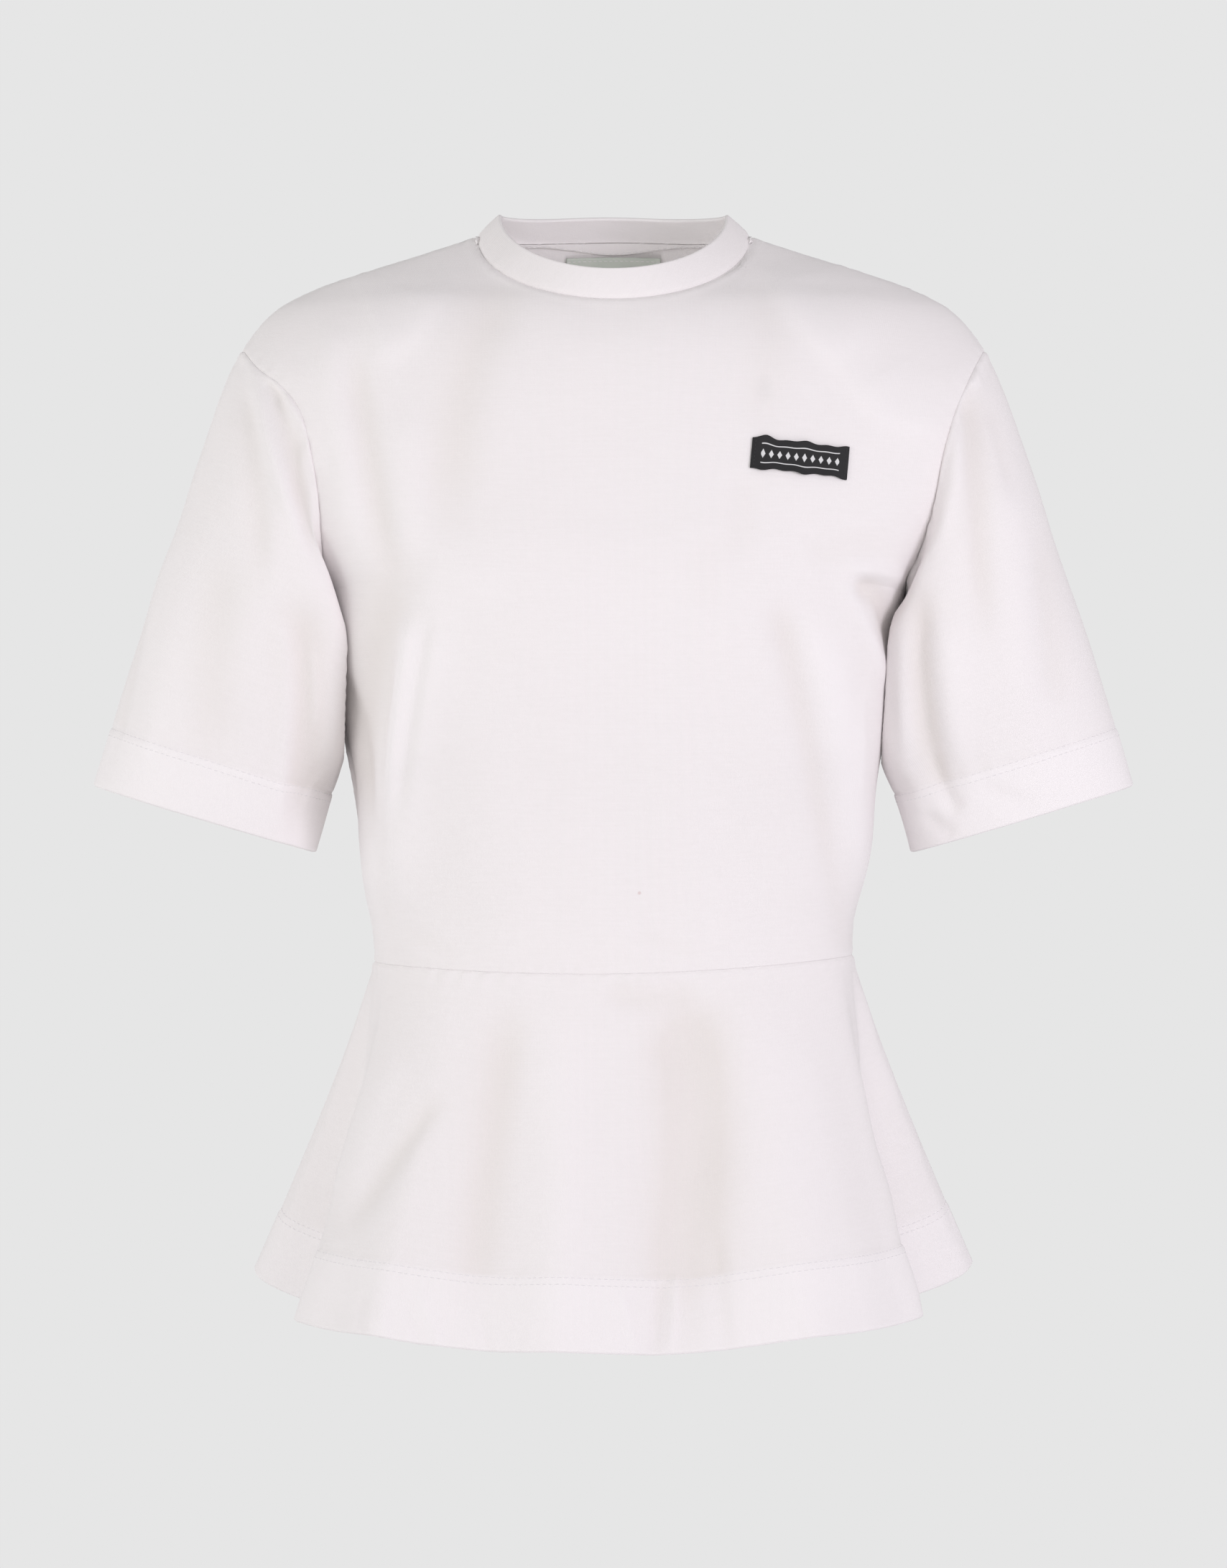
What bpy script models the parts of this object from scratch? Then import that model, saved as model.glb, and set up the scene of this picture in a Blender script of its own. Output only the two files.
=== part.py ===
"""Half-sleeved peplum top in heavy white cotton jersey, filled out as worn, with no wearer.

Metres, +Z up. The front faces -Y and the wearer's left is at +X. The origin lies midway between the
two points where the neck seam meets the shoulder seams, which is where the wearer's shoulders carry it.
Each piece is a thin wall: an outer grid of points, and an inner one set back by the cloth's thickness.
"""

from collections import namedtuple

import bpy
import numpy as np

# Cloth and seams
CLOTH = 0.0016
BAND_CLOTH = 0.0026
SEAM_GAP = 0.0003

# Driving dimensions of the bodice
NECK_HALF_WIDTH = 0.0780
FRONT_NECK_DROP = 0.0426
BACK_NECK_LIFT = 0.0035
SHOULDER_TIP_HEIGHT = -0.066
UNDERARM_HEIGHT = -0.205
WAIST_HEIGHT = -0.4120
WAIST_FRONT_DIP = 0.0058
WAIST_TILT = 0.0020

# Neck band
BAND_NARROWING = 0.0130
BAND_SIDE_RISE = 0.0130
BAND_FRONT_LEAN = 0.0045
BAND_FRONT_RISE = 0.0176
BAND_BACK_LEAN = 0.0120
BAND_BACK_RISE = 0.0125

# Sleeve
CUFF_CENTRE = (0.2325, -0.0040, -0.3330)
CUFF_TILT = 16.8
CUFF_HALF_WIDTH = 0.0655
CUFF_HALF_DEPTH = 0.0470
CUFF_SQUARENESS = 2.2
SLEEVE_CLEARANCE = 0.0012  # between the sleeve and the side of the bodice below the underarm

# Peplum
PEPLUM_FRONT_LENGTH = 0.2110
PEPLUM_SIDE_LENGTH = 0.1980

# Labels and tape
CHEST_LABEL_CENTRE = (0.1027, -0.1331)
CHEST_LABEL_WIDTH = 0.0540
CHEST_LABEL_DEPTH = 0.0165
CHEST_LABEL_TURN = -5.5
LABEL_CLOTH = 0.0008
TAPE_SHARES = (0.04, 0.50)
INNER_LABEL_HALF_WIDTH = 0.0275
INNER_LABEL_TOP = -0.0095
INNER_LABEL_DEPTH = 0.0300
INNER_LABEL_DROP = 0.0020

# Horizontal sections of the bodice, from the neck down. Above the underarm the half width is the
# whole shoulder's, sleeve head included, and the armhole cuts it short.
Section = namedtuple("Section", "height half_width front back middle squareness")
SECTIONS = [
    Section(0.000, 0.0780, 0.0120, 0.0550, 0.005, 1.80),
    Section(-0.010, 0.1090, 0.0300, 0.0600, 0.005, 1.75),
    Section(-0.020, 0.1410, 0.0470, 0.0640, 0.005, 1.70),
    Section(-0.030, 0.1700, 0.0620, 0.0680, 0.005, 1.70),
    Section(-0.042, 0.1925, 0.0785, 0.0730, 0.004, 1.75),
    Section(-0.055, 0.2050, 0.0880, 0.0780, 0.003, 1.80),
    Section(-0.070, 0.2145, 0.0950, 0.0830, 0.002, 1.85),
    Section(-0.090, 0.2235, 0.1010, 0.0880, 0.001, 1.90),
    Section(-0.112, 0.2260, 0.1060, 0.0930, 0.000, 1.95),
    Section(-0.135, 0.2170, 0.1110, 0.0980, -0.001, 2.00),
    Section(-0.160, 0.2000, 0.1150, 0.1020, -0.003, 2.10),
    Section(-0.185, 0.1800, 0.1190, 0.1050, -0.005, 2.20),
    Section(-0.205, 0.1660, 0.1200, 0.1060, -0.006, 2.30),
    Section(-0.235, 0.1610, 0.1190, 0.1050, -0.006, 2.35),
    Section(-0.262, 0.1575, 0.1150, 0.1020, -0.006, 2.40),
    Section(-0.290, 0.1532, 0.1090, 0.0970, -0.006, 2.40),
    Section(-0.314, 0.1487, 0.1040, 0.0920, -0.005, 2.35),
    Section(-0.342, 0.1443, 0.0990, 0.0860, -0.004, 2.30),
    Section(-0.370, 0.1397, 0.0960, 0.0810, -0.003, 2.25),
    Section(-0.395, 0.1367, 0.0950, 0.0780, -0.002, 2.20),
    Section(-0.425, 0.1360, 0.0960, 0.0780, -0.002, 2.20),
]

# Distance of the armhole seam from the centre line at each height.
Armhole = namedtuple("Armhole", "height right_front left_front back")
ARMHOLE = [
    Armhole(-0.066, 0.2110, 0.2110, 0.2110),
    Armhole(-0.078, 0.2010, 0.2040, 0.2050),
    Armhole(-0.090, 0.1860, 0.1980, 0.1995),
    Armhole(-0.106, 0.1745, 0.1910, 0.1940),
    Armhole(-0.126, 0.1690, 0.1850, 0.1885),
    Armhole(-0.158, 0.1640, 0.1790, 0.1800),
    Armhole(-0.184, 0.1630, 0.1715, 0.1710),
    Armhole(-0.198, 0.1640, 0.1655, 0.1655),
    Armhole(-0.205, 0.1660, 0.1660, 0.1660),
]

# How far a sleeve stands outside a straight line from its armhole to its cuff, at shares of the way
# down: to the front, to the back, outward over the arm and inward under it.
SleeveRow = namedtuple("SleeveRow", "down front back out under")
SLEEVE_ROWS = [
    SleeveRow(0.00, 0.0000, 0.0000, 0.0000, 0.0000),
    SleeveRow(0.06, 0.0050, 0.0050, 0.0020, -0.0050),
    SleeveRow(0.15, 0.0100, 0.0100, 0.0030, 0.0010),
    SleeveRow(0.30, 0.0140, 0.0140, 0.0030, 0.0080),
    SleeveRow(0.45, 0.0140, 0.0140, 0.0025, 0.0120),
    SleeveRow(0.60, 0.0120, 0.0120, 0.0025, 0.0142),
    SleeveRow(0.80, 0.0060, 0.0060, 0.0020, 0.0065),
    SleeveRow(1.00, 0.0000, 0.0000, 0.0000, 0.0000),
]

# Folds of the peplum. Each row is the crest of a flute or the bottom of a hollow: its share of the
# way round the waist, from the centre line (0) to the side seam (1), and where it reaches the hem.
Flute = namedtuple("Flute", "share across out")
FRONT_FLUTES_RIGHT = [
    Flute(0.000, 0.000, -0.1505),
    Flute(0.130, 0.029, -0.1540),
    Flute(0.330, 0.072, -0.1400),
    Flute(0.560, 0.128, -0.1345),
    Flute(0.680, 0.156, -0.1080),
    Flute(0.790, 0.1770, -0.0720),
    Flute(0.870, 0.1570, -0.0300),
    Flute(0.920, 0.1550, -0.0080),
    Flute(0.975, 0.2030, 0.0270),
    Flute(1.000, 0.2080, 0.0400),
]
FRONT_FLUTES_LEFT = [
    Flute(0.000, 0.000, -0.1505),
    Flute(0.130, 0.030, -0.1440),
    Flute(0.440, 0.103, -0.1440),
    Flute(0.600, 0.138, -0.1220),
    Flute(0.710, 0.159, -0.0950),
    Flute(0.790, 0.1725, -0.0720),
    Flute(0.870, 0.1550, -0.0280),
    Flute(0.920, 0.1530, -0.0060),
    Flute(0.975, 0.2030, 0.0270),
    Flute(1.000, 0.2080, 0.0400),
]
BACK_FLUTES_RIGHT = [
    Flute(0.000, 0.000, 0.1480),
    Flute(0.150, 0.034, 0.1560),
    Flute(0.330, 0.078, 0.1240),
    Flute(0.500, 0.118, 0.1360),
    Flute(0.640, 0.142, 0.1000),
    Flute(0.770, 0.176, 0.1060),
    Flute(0.880, 0.166, 0.0760),
    Flute(0.965, 0.2030, 0.0560),
    Flute(1.000, 0.2080, 0.0400),
]
BACK_FLUTES_LEFT = [
    Flute(0.000, 0.000, 0.1480),
    Flute(0.160, 0.038, 0.1290),
    Flute(0.350, 0.086, 0.1460),
    Flute(0.520, 0.112, 0.1080),
    Flute(0.680, 0.160, 0.1150),
    Flute(0.810, 0.163, 0.0840),
    Flute(0.900, 0.178, 0.0690),
    Flute(0.970, 0.2040, 0.0540),
    Flute(1.000, 0.2080, 0.0400),
]

# Soft folds of the bodice front, as ridges (+) or troughs (-) between two points seen from the front.
Fold = namedtuple("Fold", "across_1 height_1 across_2 height_2 width rise")
FRONT_FOLDS = [
    Fold(-0.100, -0.215, -0.131, -0.395, 0.016, 0.0050),
    Fold(0.098, -0.212, 0.132, -0.392, 0.016, 0.0050),
    Fold(-0.122, -0.190, -0.146, -0.330, 0.016, -0.0040),
    Fold(0.128, -0.200, 0.148, -0.330, 0.016, -0.0035),
]

# Folds of a sleeve, as the fold's share of the way round from the shoulder, over the front to the
# underarm (0.5), at its upper and lower end.
SleeveFold = namedtuple("SleeveFold", "around_1 down_1 around_2 down_2 width rise")
RIGHT_SLEEVE_FOLDS = [
    SleeveFold(0.40, 0.15, 0.35, 0.90, 0.050, -0.0080),
    SleeveFold(0.28, 0.25, 0.24, 0.95, 0.060, 0.0030),
]
LEFT_SLEEVE_FOLDS = [
    SleeveFold(0.40, 0.20, 0.34, 0.90, 0.050, -0.0070),
    SleeveFold(0.14, 0.10, 0.28, 0.60, 0.060, -0.0040),
]

# Grid sizes
NECK_COLUMNS = 7
SHOULDER_COLUMNS = 11
SIDE_ROWS = 8
ARMHOLE_STEPS = 12
SLEEVE_DOWN = (0.0, 0.06, 0.14, 0.24, 0.36, 0.48, 0.60, 0.72, 0.86, 1.0)
BAND_ROWS = 3
PEPLUM_DOWN = (0.0, 0.10, 0.26, 0.44, 0.62, 0.80, 1.0)
PLAIN_COLUMNS = 2
DENSE = 120

Finish = namedtuple("Finish", "name colour roughness")
JERSEY = Finish("white_jersey", (0.87, 0.85, 0.86, 1.0), 0.85)
BLACK_WOVEN = Finish("black_woven", (0.02, 0.02, 0.02, 1.0), 0.6)
PALE_SATIN = Finish("pale_satin", (0.66, 0.69, 0.63, 1.0), 0.45)


def clear_scene():
    for thing in list(bpy.data.objects):
        bpy.data.objects.remove(thing)


def through(xs, ys, x):
    """The smooth curve through the points (xs, ys), xs rising, that never overshoots them."""
    xs, ys = np.asarray(xs, float), np.asarray(ys, float)
    step = np.diff(xs)
    slope = np.diff(ys) / step
    tangent = np.zeros(len(xs))
    before, after = slope[:-1], slope[1:]
    both = before * after > 0
    tangent[1:-1][both] = 2 * before[both] * after[both] / (before[both] + after[both])
    tangent[0], tangent[-1] = slope[0], slope[-1]
    x = np.clip(x, xs[0], xs[-1])
    i = np.clip(np.searchsorted(xs, x, side="right") - 1, 0, len(xs) - 2)
    w = step[i]
    t = (x - xs[i]) / w
    return (
        ys[i] * (1 + 2 * t) * (1 - t) ** 2
        + tangent[i] * w * t * (1 - t) ** 2
        + ys[i + 1] * t * t * (3 - 2 * t)
        + tangent[i + 1] * w * t * t * (t - 1)
    )


def column(table, key, name, at):
    """One named column of a table, read at any value of its key column."""
    rows = sorted(table, key=lambda row: getattr(row, key))
    return through([getattr(r, key) for r in rows], [getattr(r, name) for r in rows], at)


def eased(x):
    x = np.clip(x, 0.0, 1.0)
    return x * x * (3 - 2 * x)


def unit(v):
    return v / np.maximum(np.linalg.norm(v, axis=-1, keepdims=True), 1e-12)


def fold_rise(folds, across, height):
    """How far the cloth stands out of the plain surface at points seen from the front."""
    rise = np.zeros_like(across)
    for fold in folds:
        start = np.array([fold[0], fold[1]])
        run = np.array([fold[2], fold[3]]) - start
        along = ((across - start[0]) * run[0] + (height - start[1]) * run[1]) / (run @ run)
        nearest = np.clip(along, 0, 1)
        off = np.hypot(across - start[0] - nearest * run[0], height - start[1] - nearest * run[1])
        taper = eased((along + 0.25) / 0.5) * eased((1.25 - along) / 0.5)
        rise += fold.rise * np.exp(-((off / fold.width) ** 2)) * taper
    return rise


def bodice_surface(across, height, front):
    """Points of the bodice at a distance across from the centre line and at a height."""
    half, power, middle = (
        column(SECTIONS, "height", name, height) for name in ("half_width", "squareness", "middle")
    )
    share = np.clip(np.abs(across) / half, 0, 1)
    bulge = (1 - share**power) ** (1 / power)
    if front:
        folds = fold_rise(FRONT_FOLDS, across, height) * eased(3 * bulge)
        out = column(SECTIONS, "height", "front", height) * bulge + folds
        return np.stack([across, middle - out, height], -1)
    out = column(SECTIONS, "height", "back", height) * bulge
    near_neck = eased(1 - np.abs(across) / NECK_HALF_WIDTH) * eased((height + 0.05) / 0.05)
    return np.stack([across, middle + out, height + BACK_NECK_LIFT * near_neck], -1)


def waist_height(share, side):
    """Height of the waist seam at a share of the half width, on the side +1 (left) or -1 (right)."""
    return WAIST_HEIGHT - WAIST_FRONT_DIP * np.cos(share * np.pi / 2) + side * WAIST_TILT * share


def top_height(across, front):
    """Height of a panel's top edge: the neckline, then the ridge of the shoulder."""
    heights = np.linspace(-0.08, 0, 2001)
    ridge = np.interp(across, column(SECTIONS, "height", "half_width", heights)[::-1], heights[::-1])
    share = np.clip(across / NECK_HALF_WIDTH, 0, 1)
    neckline = -FRONT_NECK_DROP * np.sqrt(1 - share**2) if front else 0.0 * share
    return np.where(share < 1, neckline, ridge)


def spaced(points, shares):
    """Points at these shares of the length of a line of points."""
    steps = np.linalg.norm(np.diff(points, axis=0), axis=1)
    along = np.concatenate([[0.0], np.cumsum(steps)])
    return np.stack([np.interp(shares * along[-1], along, points[:, i]) for i in range(3)], -1)


def two_part(corner, first, second):
    """Shares 0 to 1 in even steps on each side of a corner."""
    return np.concatenate([np.linspace(0, corner, first + 1)[:-1], np.linspace(corner, 1, second + 1)])


def thinned(line, first, second):
    """A dense line as even steps of its own length on each side of its middle point."""
    return np.concatenate(
        [spaced(line[: DENSE + 1], np.arange(first) / first), spaced(line[DENSE:], np.linspace(0, 1, second + 1))]
    )


def half_panel(front, side):
    """One half of a bodice panel: rows from the waist up, columns from the centre line out.

    The outer edge is the side seam up to the underarm, then the armhole. The top edge is the
    neckline, then the shoulder. Every row and column is spaced evenly by its own length."""
    armhole = ("left_front" if side > 0 else "right_front") if front else "back"
    tip = column(SECTIONS, "height", "half_width", ARMHOLE[0].height)
    low = ARMHOLE[-1].height
    neck, underarm = NECK_HALF_WIDTH / tip, 0.56
    out = two_part(neck, DENSE, DENSE)
    rise = two_part(underarm, DENSE, DENSE)
    lower = np.clip(rise / underarm, 0, 1)
    upper = np.clip((rise - underarm) / (1 - underarm), 0, 1)
    edge_waist = waist_height(1.0, side)
    edge_z = edge_waist + (low - edge_waist) * lower + (ARMHOLE[0].height - low) * upper
    edge_x = np.where(
        upper > 0,
        column(ARMHOLE, "height", armhole, edge_z),
        column(SECTIONS, "height", "half_width", edge_z),
    )
    edge_x[-1] = tip
    top = top_height(out * tip, front)
    waist = waist_height(out, side)
    centre_z = waist[0] + (top[0] - waist[0]) * rise
    z = centre_z[:, None] * (1 - out) + edge_z[:, None] * out
    z += (1 - rise[:, None]) * (waist - waist[0] * (1 - out) - waist[-1] * out)
    z += rise[:, None] ** 4 * (top - top[0] * (1 - out) - edge_z[-1] * out)
    dense = bodice_surface(side * edge_x[:, None] * out, z, front)
    dense[-1, DENSE:, 1] = column(SECTIONS, "height", "middle", dense[-1, DENSE:, 2])
    rows = np.stack([thinned(row, NECK_COLUMNS, SHOULDER_COLUMNS) for row in dense])
    return np.stack([thinned(line, SIDE_ROWS, ARMHOLE_STEPS) for line in rows.swapaxes(0, 1)], 1)


def bodice_panel(front):
    """Rows from the waist up, columns from the wearer's right side (-X) to the left."""
    return np.concatenate([half_panel(front, -1)[:, :0:-1], half_panel(front, 1)], axis=1)


def armhole_loop(front, back, side):
    """The armhole's points from the shoulder, down the front and up the back."""
    edge = -1 if side > 0 else 0
    down = front[SIDE_ROWS:, edge][::-1]
    up = back[SIDE_ROWS + 1 : -1, edge]
    return np.concatenate([down, up])


def rounded(angle, power):
    """Unit rounded rectangle at an angle."""
    c, s = np.cos(angle), np.sin(angle)
    size = (np.abs(c) ** power + np.abs(s) ** power) ** (-1 / power)
    return c * size, s * size


def beside_bodice(points, side):
    """Sleeve points below the armhole, moved out where they would touch the side of the bodice."""
    height = points[:, 2]
    half, power, middle, front, back = (
        column(SECTIONS, "height", name, height)
        for name in ("half_width", "squareness", "middle", "front", "back")
    )
    ahead = points[:, 1] - middle
    share = np.clip(np.abs(ahead) / np.where(ahead < 0, front, back), 0, 1)
    nearest = half * (1 - share**power) ** (1 / power)
    nearest += SLEEVE_CLEARANCE * eased((UNDERARM_HEIGHT - height) / 0.020)
    away = side * points[:, 0]
    away = np.where(height < UNDERARM_HEIGHT, np.maximum(away, nearest), away)
    return np.column_stack([side * away, points[:, 1:]])


def sleeve(loop, side, folds):
    """Rows from the armhole down to the cuff, columns round the arm from the shoulder."""
    around = np.arange(len(loop)) / len(loop)
    out, forward = rounded(2 * np.pi * around, CUFF_SQUARENESS)
    tilt = np.radians(CUFF_TILT)
    cuff = np.stack(
        [
            side * (CUFF_CENTRE[0] + CUFF_HALF_WIDTH * out * np.cos(tilt)),
            CUFF_CENTRE[1] - CUFF_HALF_DEPTH * forward,
            CUFF_CENTRE[2] + CUFF_HALF_WIDTH * out * np.sin(tilt),
        ],
        -1,
    )
    rows = []
    for down in SLEEVE_DOWN:
        push = {n: column(SLEEVE_ROWS, "down", n, down) for n in ("front", "back", "out", "under")}
        across = np.where(out > 0, push["out"], push["under"]) * out
        ahead = np.where(forward > 0, push["front"], push["back"]) * forward
        fold = fold_rise(folds, around, np.full_like(around, down)) * min(1.0, 8 * down)
        across += fold * out
        ahead += fold * forward
        shift = np.stack([side * across, -ahead, across * np.sin(tilt)], -1)
        rows.append(beside_bodice(loop * (1 - down) + cuff * down + shift, side))
    return np.stack(rows)


def neck_band(front, back):
    """Rows from the neck seam up, columns round from the wearer's right shoulder over the front."""
    span = slice(SHOULDER_COLUMNS, SHOULDER_COLUMNS + 2 * NECK_COLUMNS + 1)
    seam = np.concatenate([front[-1, span], back[-1, span][-2:0:-1]])
    share = np.clip(seam[:, 0] / NECK_HALF_WIDTH, -1, 1)
    middle = np.sqrt(1 - share**2)
    is_front = np.arange(len(seam)) < 2 * NECK_COLUMNS
    lean = np.where(is_front, BAND_FRONT_LEAN, -BAND_BACK_LEAN) * middle
    rise = np.where(is_front, BAND_FRONT_RISE, BAND_BACK_RISE) * middle + BAND_SIDE_RISE * (1 - middle)
    shift = np.stack([-BAND_NARROWING * share, lean, rise], -1)
    steps = np.linspace(0, 1, BAND_ROWS + 1)[:, None, None]
    return seam + shift * steps


def peplum_panel(waist, flutes_right, flutes_left):
    """Rows from the waist seam down, columns from the wearer's right side (-X) to the left."""
    half = len(waist) // 2
    splits = [1 if abs(k - half + 0.5) < PLAIN_COLUMNS else 2 for k in range(len(waist) - 1)]
    at = np.concatenate([k + np.arange(n) / n for k, n in enumerate(splits)] + [[len(waist) - 1.0]])
    seam = np.stack([np.interp(at, np.arange(len(waist)), waist[:, i]) for i in range(3)], -1)
    share = np.abs(at - half) / half
    left = at > half
    across = np.where(
        left,
        column(flutes_left, "share", "across", share),
        -column(flutes_right, "share", "across", share),
    )
    out = np.where(
        left,
        column(flutes_left, "share", "out", share),
        column(flutes_right, "share", "out", share),
    )
    length = PEPLUM_FRONT_LENGTH + (PEPLUM_SIDE_LENGTH - PEPLUM_FRONT_LENGTH) * share**4
    run = np.hypot(across - seam[:, 0], out - seam[:, 1])
    hem = np.stack([across, out, seam[:, 2] - np.sqrt(length**2 - run**2)], -1)
    rows = []
    for down in PEPLUM_DOWN:
        spread = down ** 1.12
        flat = seam[:, :2] * (1 - spread) + hem[:, :2] * spread
        rows.append(np.column_stack([flat, seam[:, 2] * (1 - down) + hem[:, 2] * down]))
    return np.stack(rows)


def grid_normals(grid, wrap):
    """Outward direction at each point of a grid."""
    if wrap:
        across = np.roll(grid, -1, axis=1) - np.roll(grid, 1, axis=1)
    else:
        across = np.gradient(grid, axis=1)
    return unit(np.cross(across, np.gradient(grid, axis=0)))


def drawn_back(edge, inside, normals):
    """How far each point of an edge moves into its piece to leave its half of the seam's gap."""
    along = np.gradient(edge, axis=0)
    into = unit(np.cross(normals, along))
    sign = np.sign(np.sum(into * (inside - edge), axis=-1, keepdims=True))
    return into * sign * SEAM_GAP


def wall(grid, own, shared, thickness, wrap):
    """Outer and inner faces of a piece, drawn back from its seams by half the seam's gap."""
    shift = np.zeros_like(grid)
    shift[0] += drawn_back(grid[0], grid[1], own[0])
    shift[-1] += drawn_back(grid[-1], grid[-2], own[-1])
    if not wrap:
        shift[:, 0] += drawn_back(grid[:, 0], grid[:, 1], own[:, 0])
        shift[:, -1] += drawn_back(grid[:, -1], grid[:, -2], own[:, -1])
    return grid + shift, grid + shift - shared * thickness


def add_piece(name, grid, shared, thickness, finish, wrap=False):
    rows, columns = grid.shape[:2]
    outer, inner = wall(grid, grid_normals(grid, wrap), shared, thickness, wrap)
    points = np.concatenate([outer.reshape(-1, 3), inner.reshape(-1, 3)])
    back = rows * columns
    faces = []
    last = columns if wrap else columns - 1
    for i in range(rows - 1):
        for j in range(last):
            k = (j + 1) % columns
            a, b, c, d = (i, j), (i, k), (i + 1, k), (i + 1, j)
            if np.linalg.norm(grid[a] - grid[c]) > np.linalg.norm(grid[b] - grid[d]):
                a, b, c, d = b, c, d, a
            a, b, c, d = (m * columns + n for m, n in (a, b, c, d))
            faces += [[a, b, c], [a, c, d]]
            faces += [[back + c, back + b, back + a], [back + d, back + c, back + a]]
    borders = [[(0, j) for j in range(columns)], [(rows - 1, j) for j in range(columns)][::-1]]
    if wrap:
        borders = [border + border[:1] for border in borders]
    else:
        borders = [sum(borders_of_sheet(rows, columns), [])]
    for border in borders:
        for (i, j), (m, n) in zip(border, border[1:]):
            a, b = i * columns + j, m * columns + n
            faces += [[b, a, back + a], [b, back + a, back + b]]
    mesh = bpy.data.meshes.new(name)
    mesh.from_pydata(points.tolist(), [], faces)
    mesh.update()
    body = bpy.data.objects.new(name, mesh)
    bpy.context.collection.objects.link(body)
    paint(body, finish)
    return body


def borders_of_sheet(rows, columns):
    """The edge of a sheet, once round in the order of its faces."""
    return [
        [(0, j) for j in range(columns)],
        [(i, columns - 1) for i in range(1, rows)],
        [(rows - 1, j) for j in range(columns - 2, -1, -1)],
        [(i, 0) for i in range(rows - 2, -1, -1)],
    ]


def paint(body, finish):
    material = bpy.data.materials.new(body.name + "_" + finish.name)
    material.use_nodes = True
    shader = material.node_tree.nodes["Principled BSDF"]
    shader.inputs["Base Color"].default_value = finish.colour
    shader.inputs["Roughness"].default_value = finish.roughness
    body.data.materials.append(material)


def shared_normals(pieces):
    """Normals of all pieces, the same for every piece that meets at a seam.

    Pieces whose names end alike carry one surface on, so they count as one where another joins."""
    found = {}
    for name, (grid, wrap) in pieces.items():
        group = name.split("_")[-1]
        for point, normal in zip(grid.reshape(-1, 3), grid_normals(grid, wrap).reshape(-1, 3)):
            groups = found.setdefault(tuple(np.round(point, 6)), {})
            groups[group] = groups.get(group, 0) + normal
    total = {point: sum(unit(n) for n in groups.values()) for point, groups in found.items()}
    return {
        name: unit(np.array([total[tuple(np.round(p, 6))] for p in grid.reshape(-1, 3)]).reshape(grid.shape))
        for name, (grid, wrap) in pieces.items()
    }


def chest_label():
    """A patch over the wearer's left chest: rows from its lower edge up, on the panel's own surface."""
    turn = np.radians(CHEST_LABEL_TURN)
    along, up = np.meshgrid(
        np.linspace(-0.5, 0.5, 9) * CHEST_LABEL_WIDTH, np.linspace(-0.5, 0.5, 4) * CHEST_LABEL_DEPTH
    )
    across = CHEST_LABEL_CENTRE[0] + along * np.cos(turn) - up * np.sin(turn)
    height = CHEST_LABEL_CENTRE[1] + along * np.sin(turn) + up * np.cos(turn)
    under = bodice_surface(across, height, True)
    return under + grid_normals(under, False) * (SEAM_GAP + LABEL_CLOTH)


def neck_tape(back, normals):
    """The tape inside the back neck, on the inner face of the back panel. Rows as on the panel."""
    span = slice(SHOULDER_COLUMNS + 1, SHOULDER_COLUMNS + 2 * NECK_COLUMNS)
    inner = (back - normals * (CLOTH + SEAM_GAP))[-2:, span]
    facing = normals[-2:, span]
    shares = [1 - TAPE_SHARES[1], 1 - TAPE_SHARES[0]]
    grid = np.stack([inner[0] * (1 - s) + inner[1] * s for s in shares])
    return grid, unit(np.stack([facing[0] * (1 - s) + facing[1] * s for s in shares]))


def inner_label():
    """The blank label that hangs from the tape, inside the back neck."""
    across, down = np.meshgrid(
        np.linspace(1, -1, 7) * INNER_LABEL_HALF_WIDTH, np.linspace(INNER_LABEL_DEPTH, 0, 4)
    )
    panel = bodice_surface(across, INNER_LABEL_TOP - down, False)
    panel[..., 1] -= CLOTH + 3 * SEAM_GAP + LABEL_CLOTH + INNER_LABEL_DROP * down / INNER_LABEL_DEPTH
    return panel


def build():
    clear_scene()
    front = bodice_panel(True)
    back = bodice_panel(False)
    turned = back[:, ::-1]
    pieces = {
        "front_bodice": (front, False),
        "back_bodice": (turned, False),
        "left_sleeve": (sleeve(armhole_loop(front, back, 1), 1, LEFT_SLEEVE_FOLDS), True),
        "right_sleeve": (sleeve(armhole_loop(front, back, -1), -1, RIGHT_SLEEVE_FOLDS)[:, ::-1], True),
        "neck_band": (neck_band(front, back), True),
        "front_peplum": (peplum_panel(front[0], FRONT_FLUTES_RIGHT, FRONT_FLUTES_LEFT)[::-1], False),
        "back_peplum": (peplum_panel(back[0], BACK_FLUTES_RIGHT, BACK_FLUTES_LEFT)[::-1, ::-1], False),
    }
    normals = shared_normals(pieces)
    for name, (grid, wrap) in pieces.items():
        thickness = BAND_CLOTH if name == "neck_band" else CLOTH
        add_piece(name, grid, normals[name], thickness, JERSEY, wrap)
    label = chest_label()
    add_piece("chest_label", label, grid_normals(label, False), LABEL_CLOTH, BLACK_WOVEN)
    tape, facing = neck_tape(turned, normals["back_bodice"])
    add_piece("neck_tape", tape, facing, LABEL_CLOTH, JERSEY)
    hanging = inner_label()
    add_piece("inner_label", hanging, grid_normals(hanging, False), LABEL_CLOTH, PALE_SATIN)


build()
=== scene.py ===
"""Studio view of a half-sleeved peplum top in heavy white cotton jersey, filled out with no wearer.

Metres, +Z up, the wearer's front at -Y and left side at +X. Every piece of cloth is a thin shell on the
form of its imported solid: the same sections and flutes, cut finer, with creases, seams, turned hems and
stitches added.
"""

from collections import namedtuple

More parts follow.
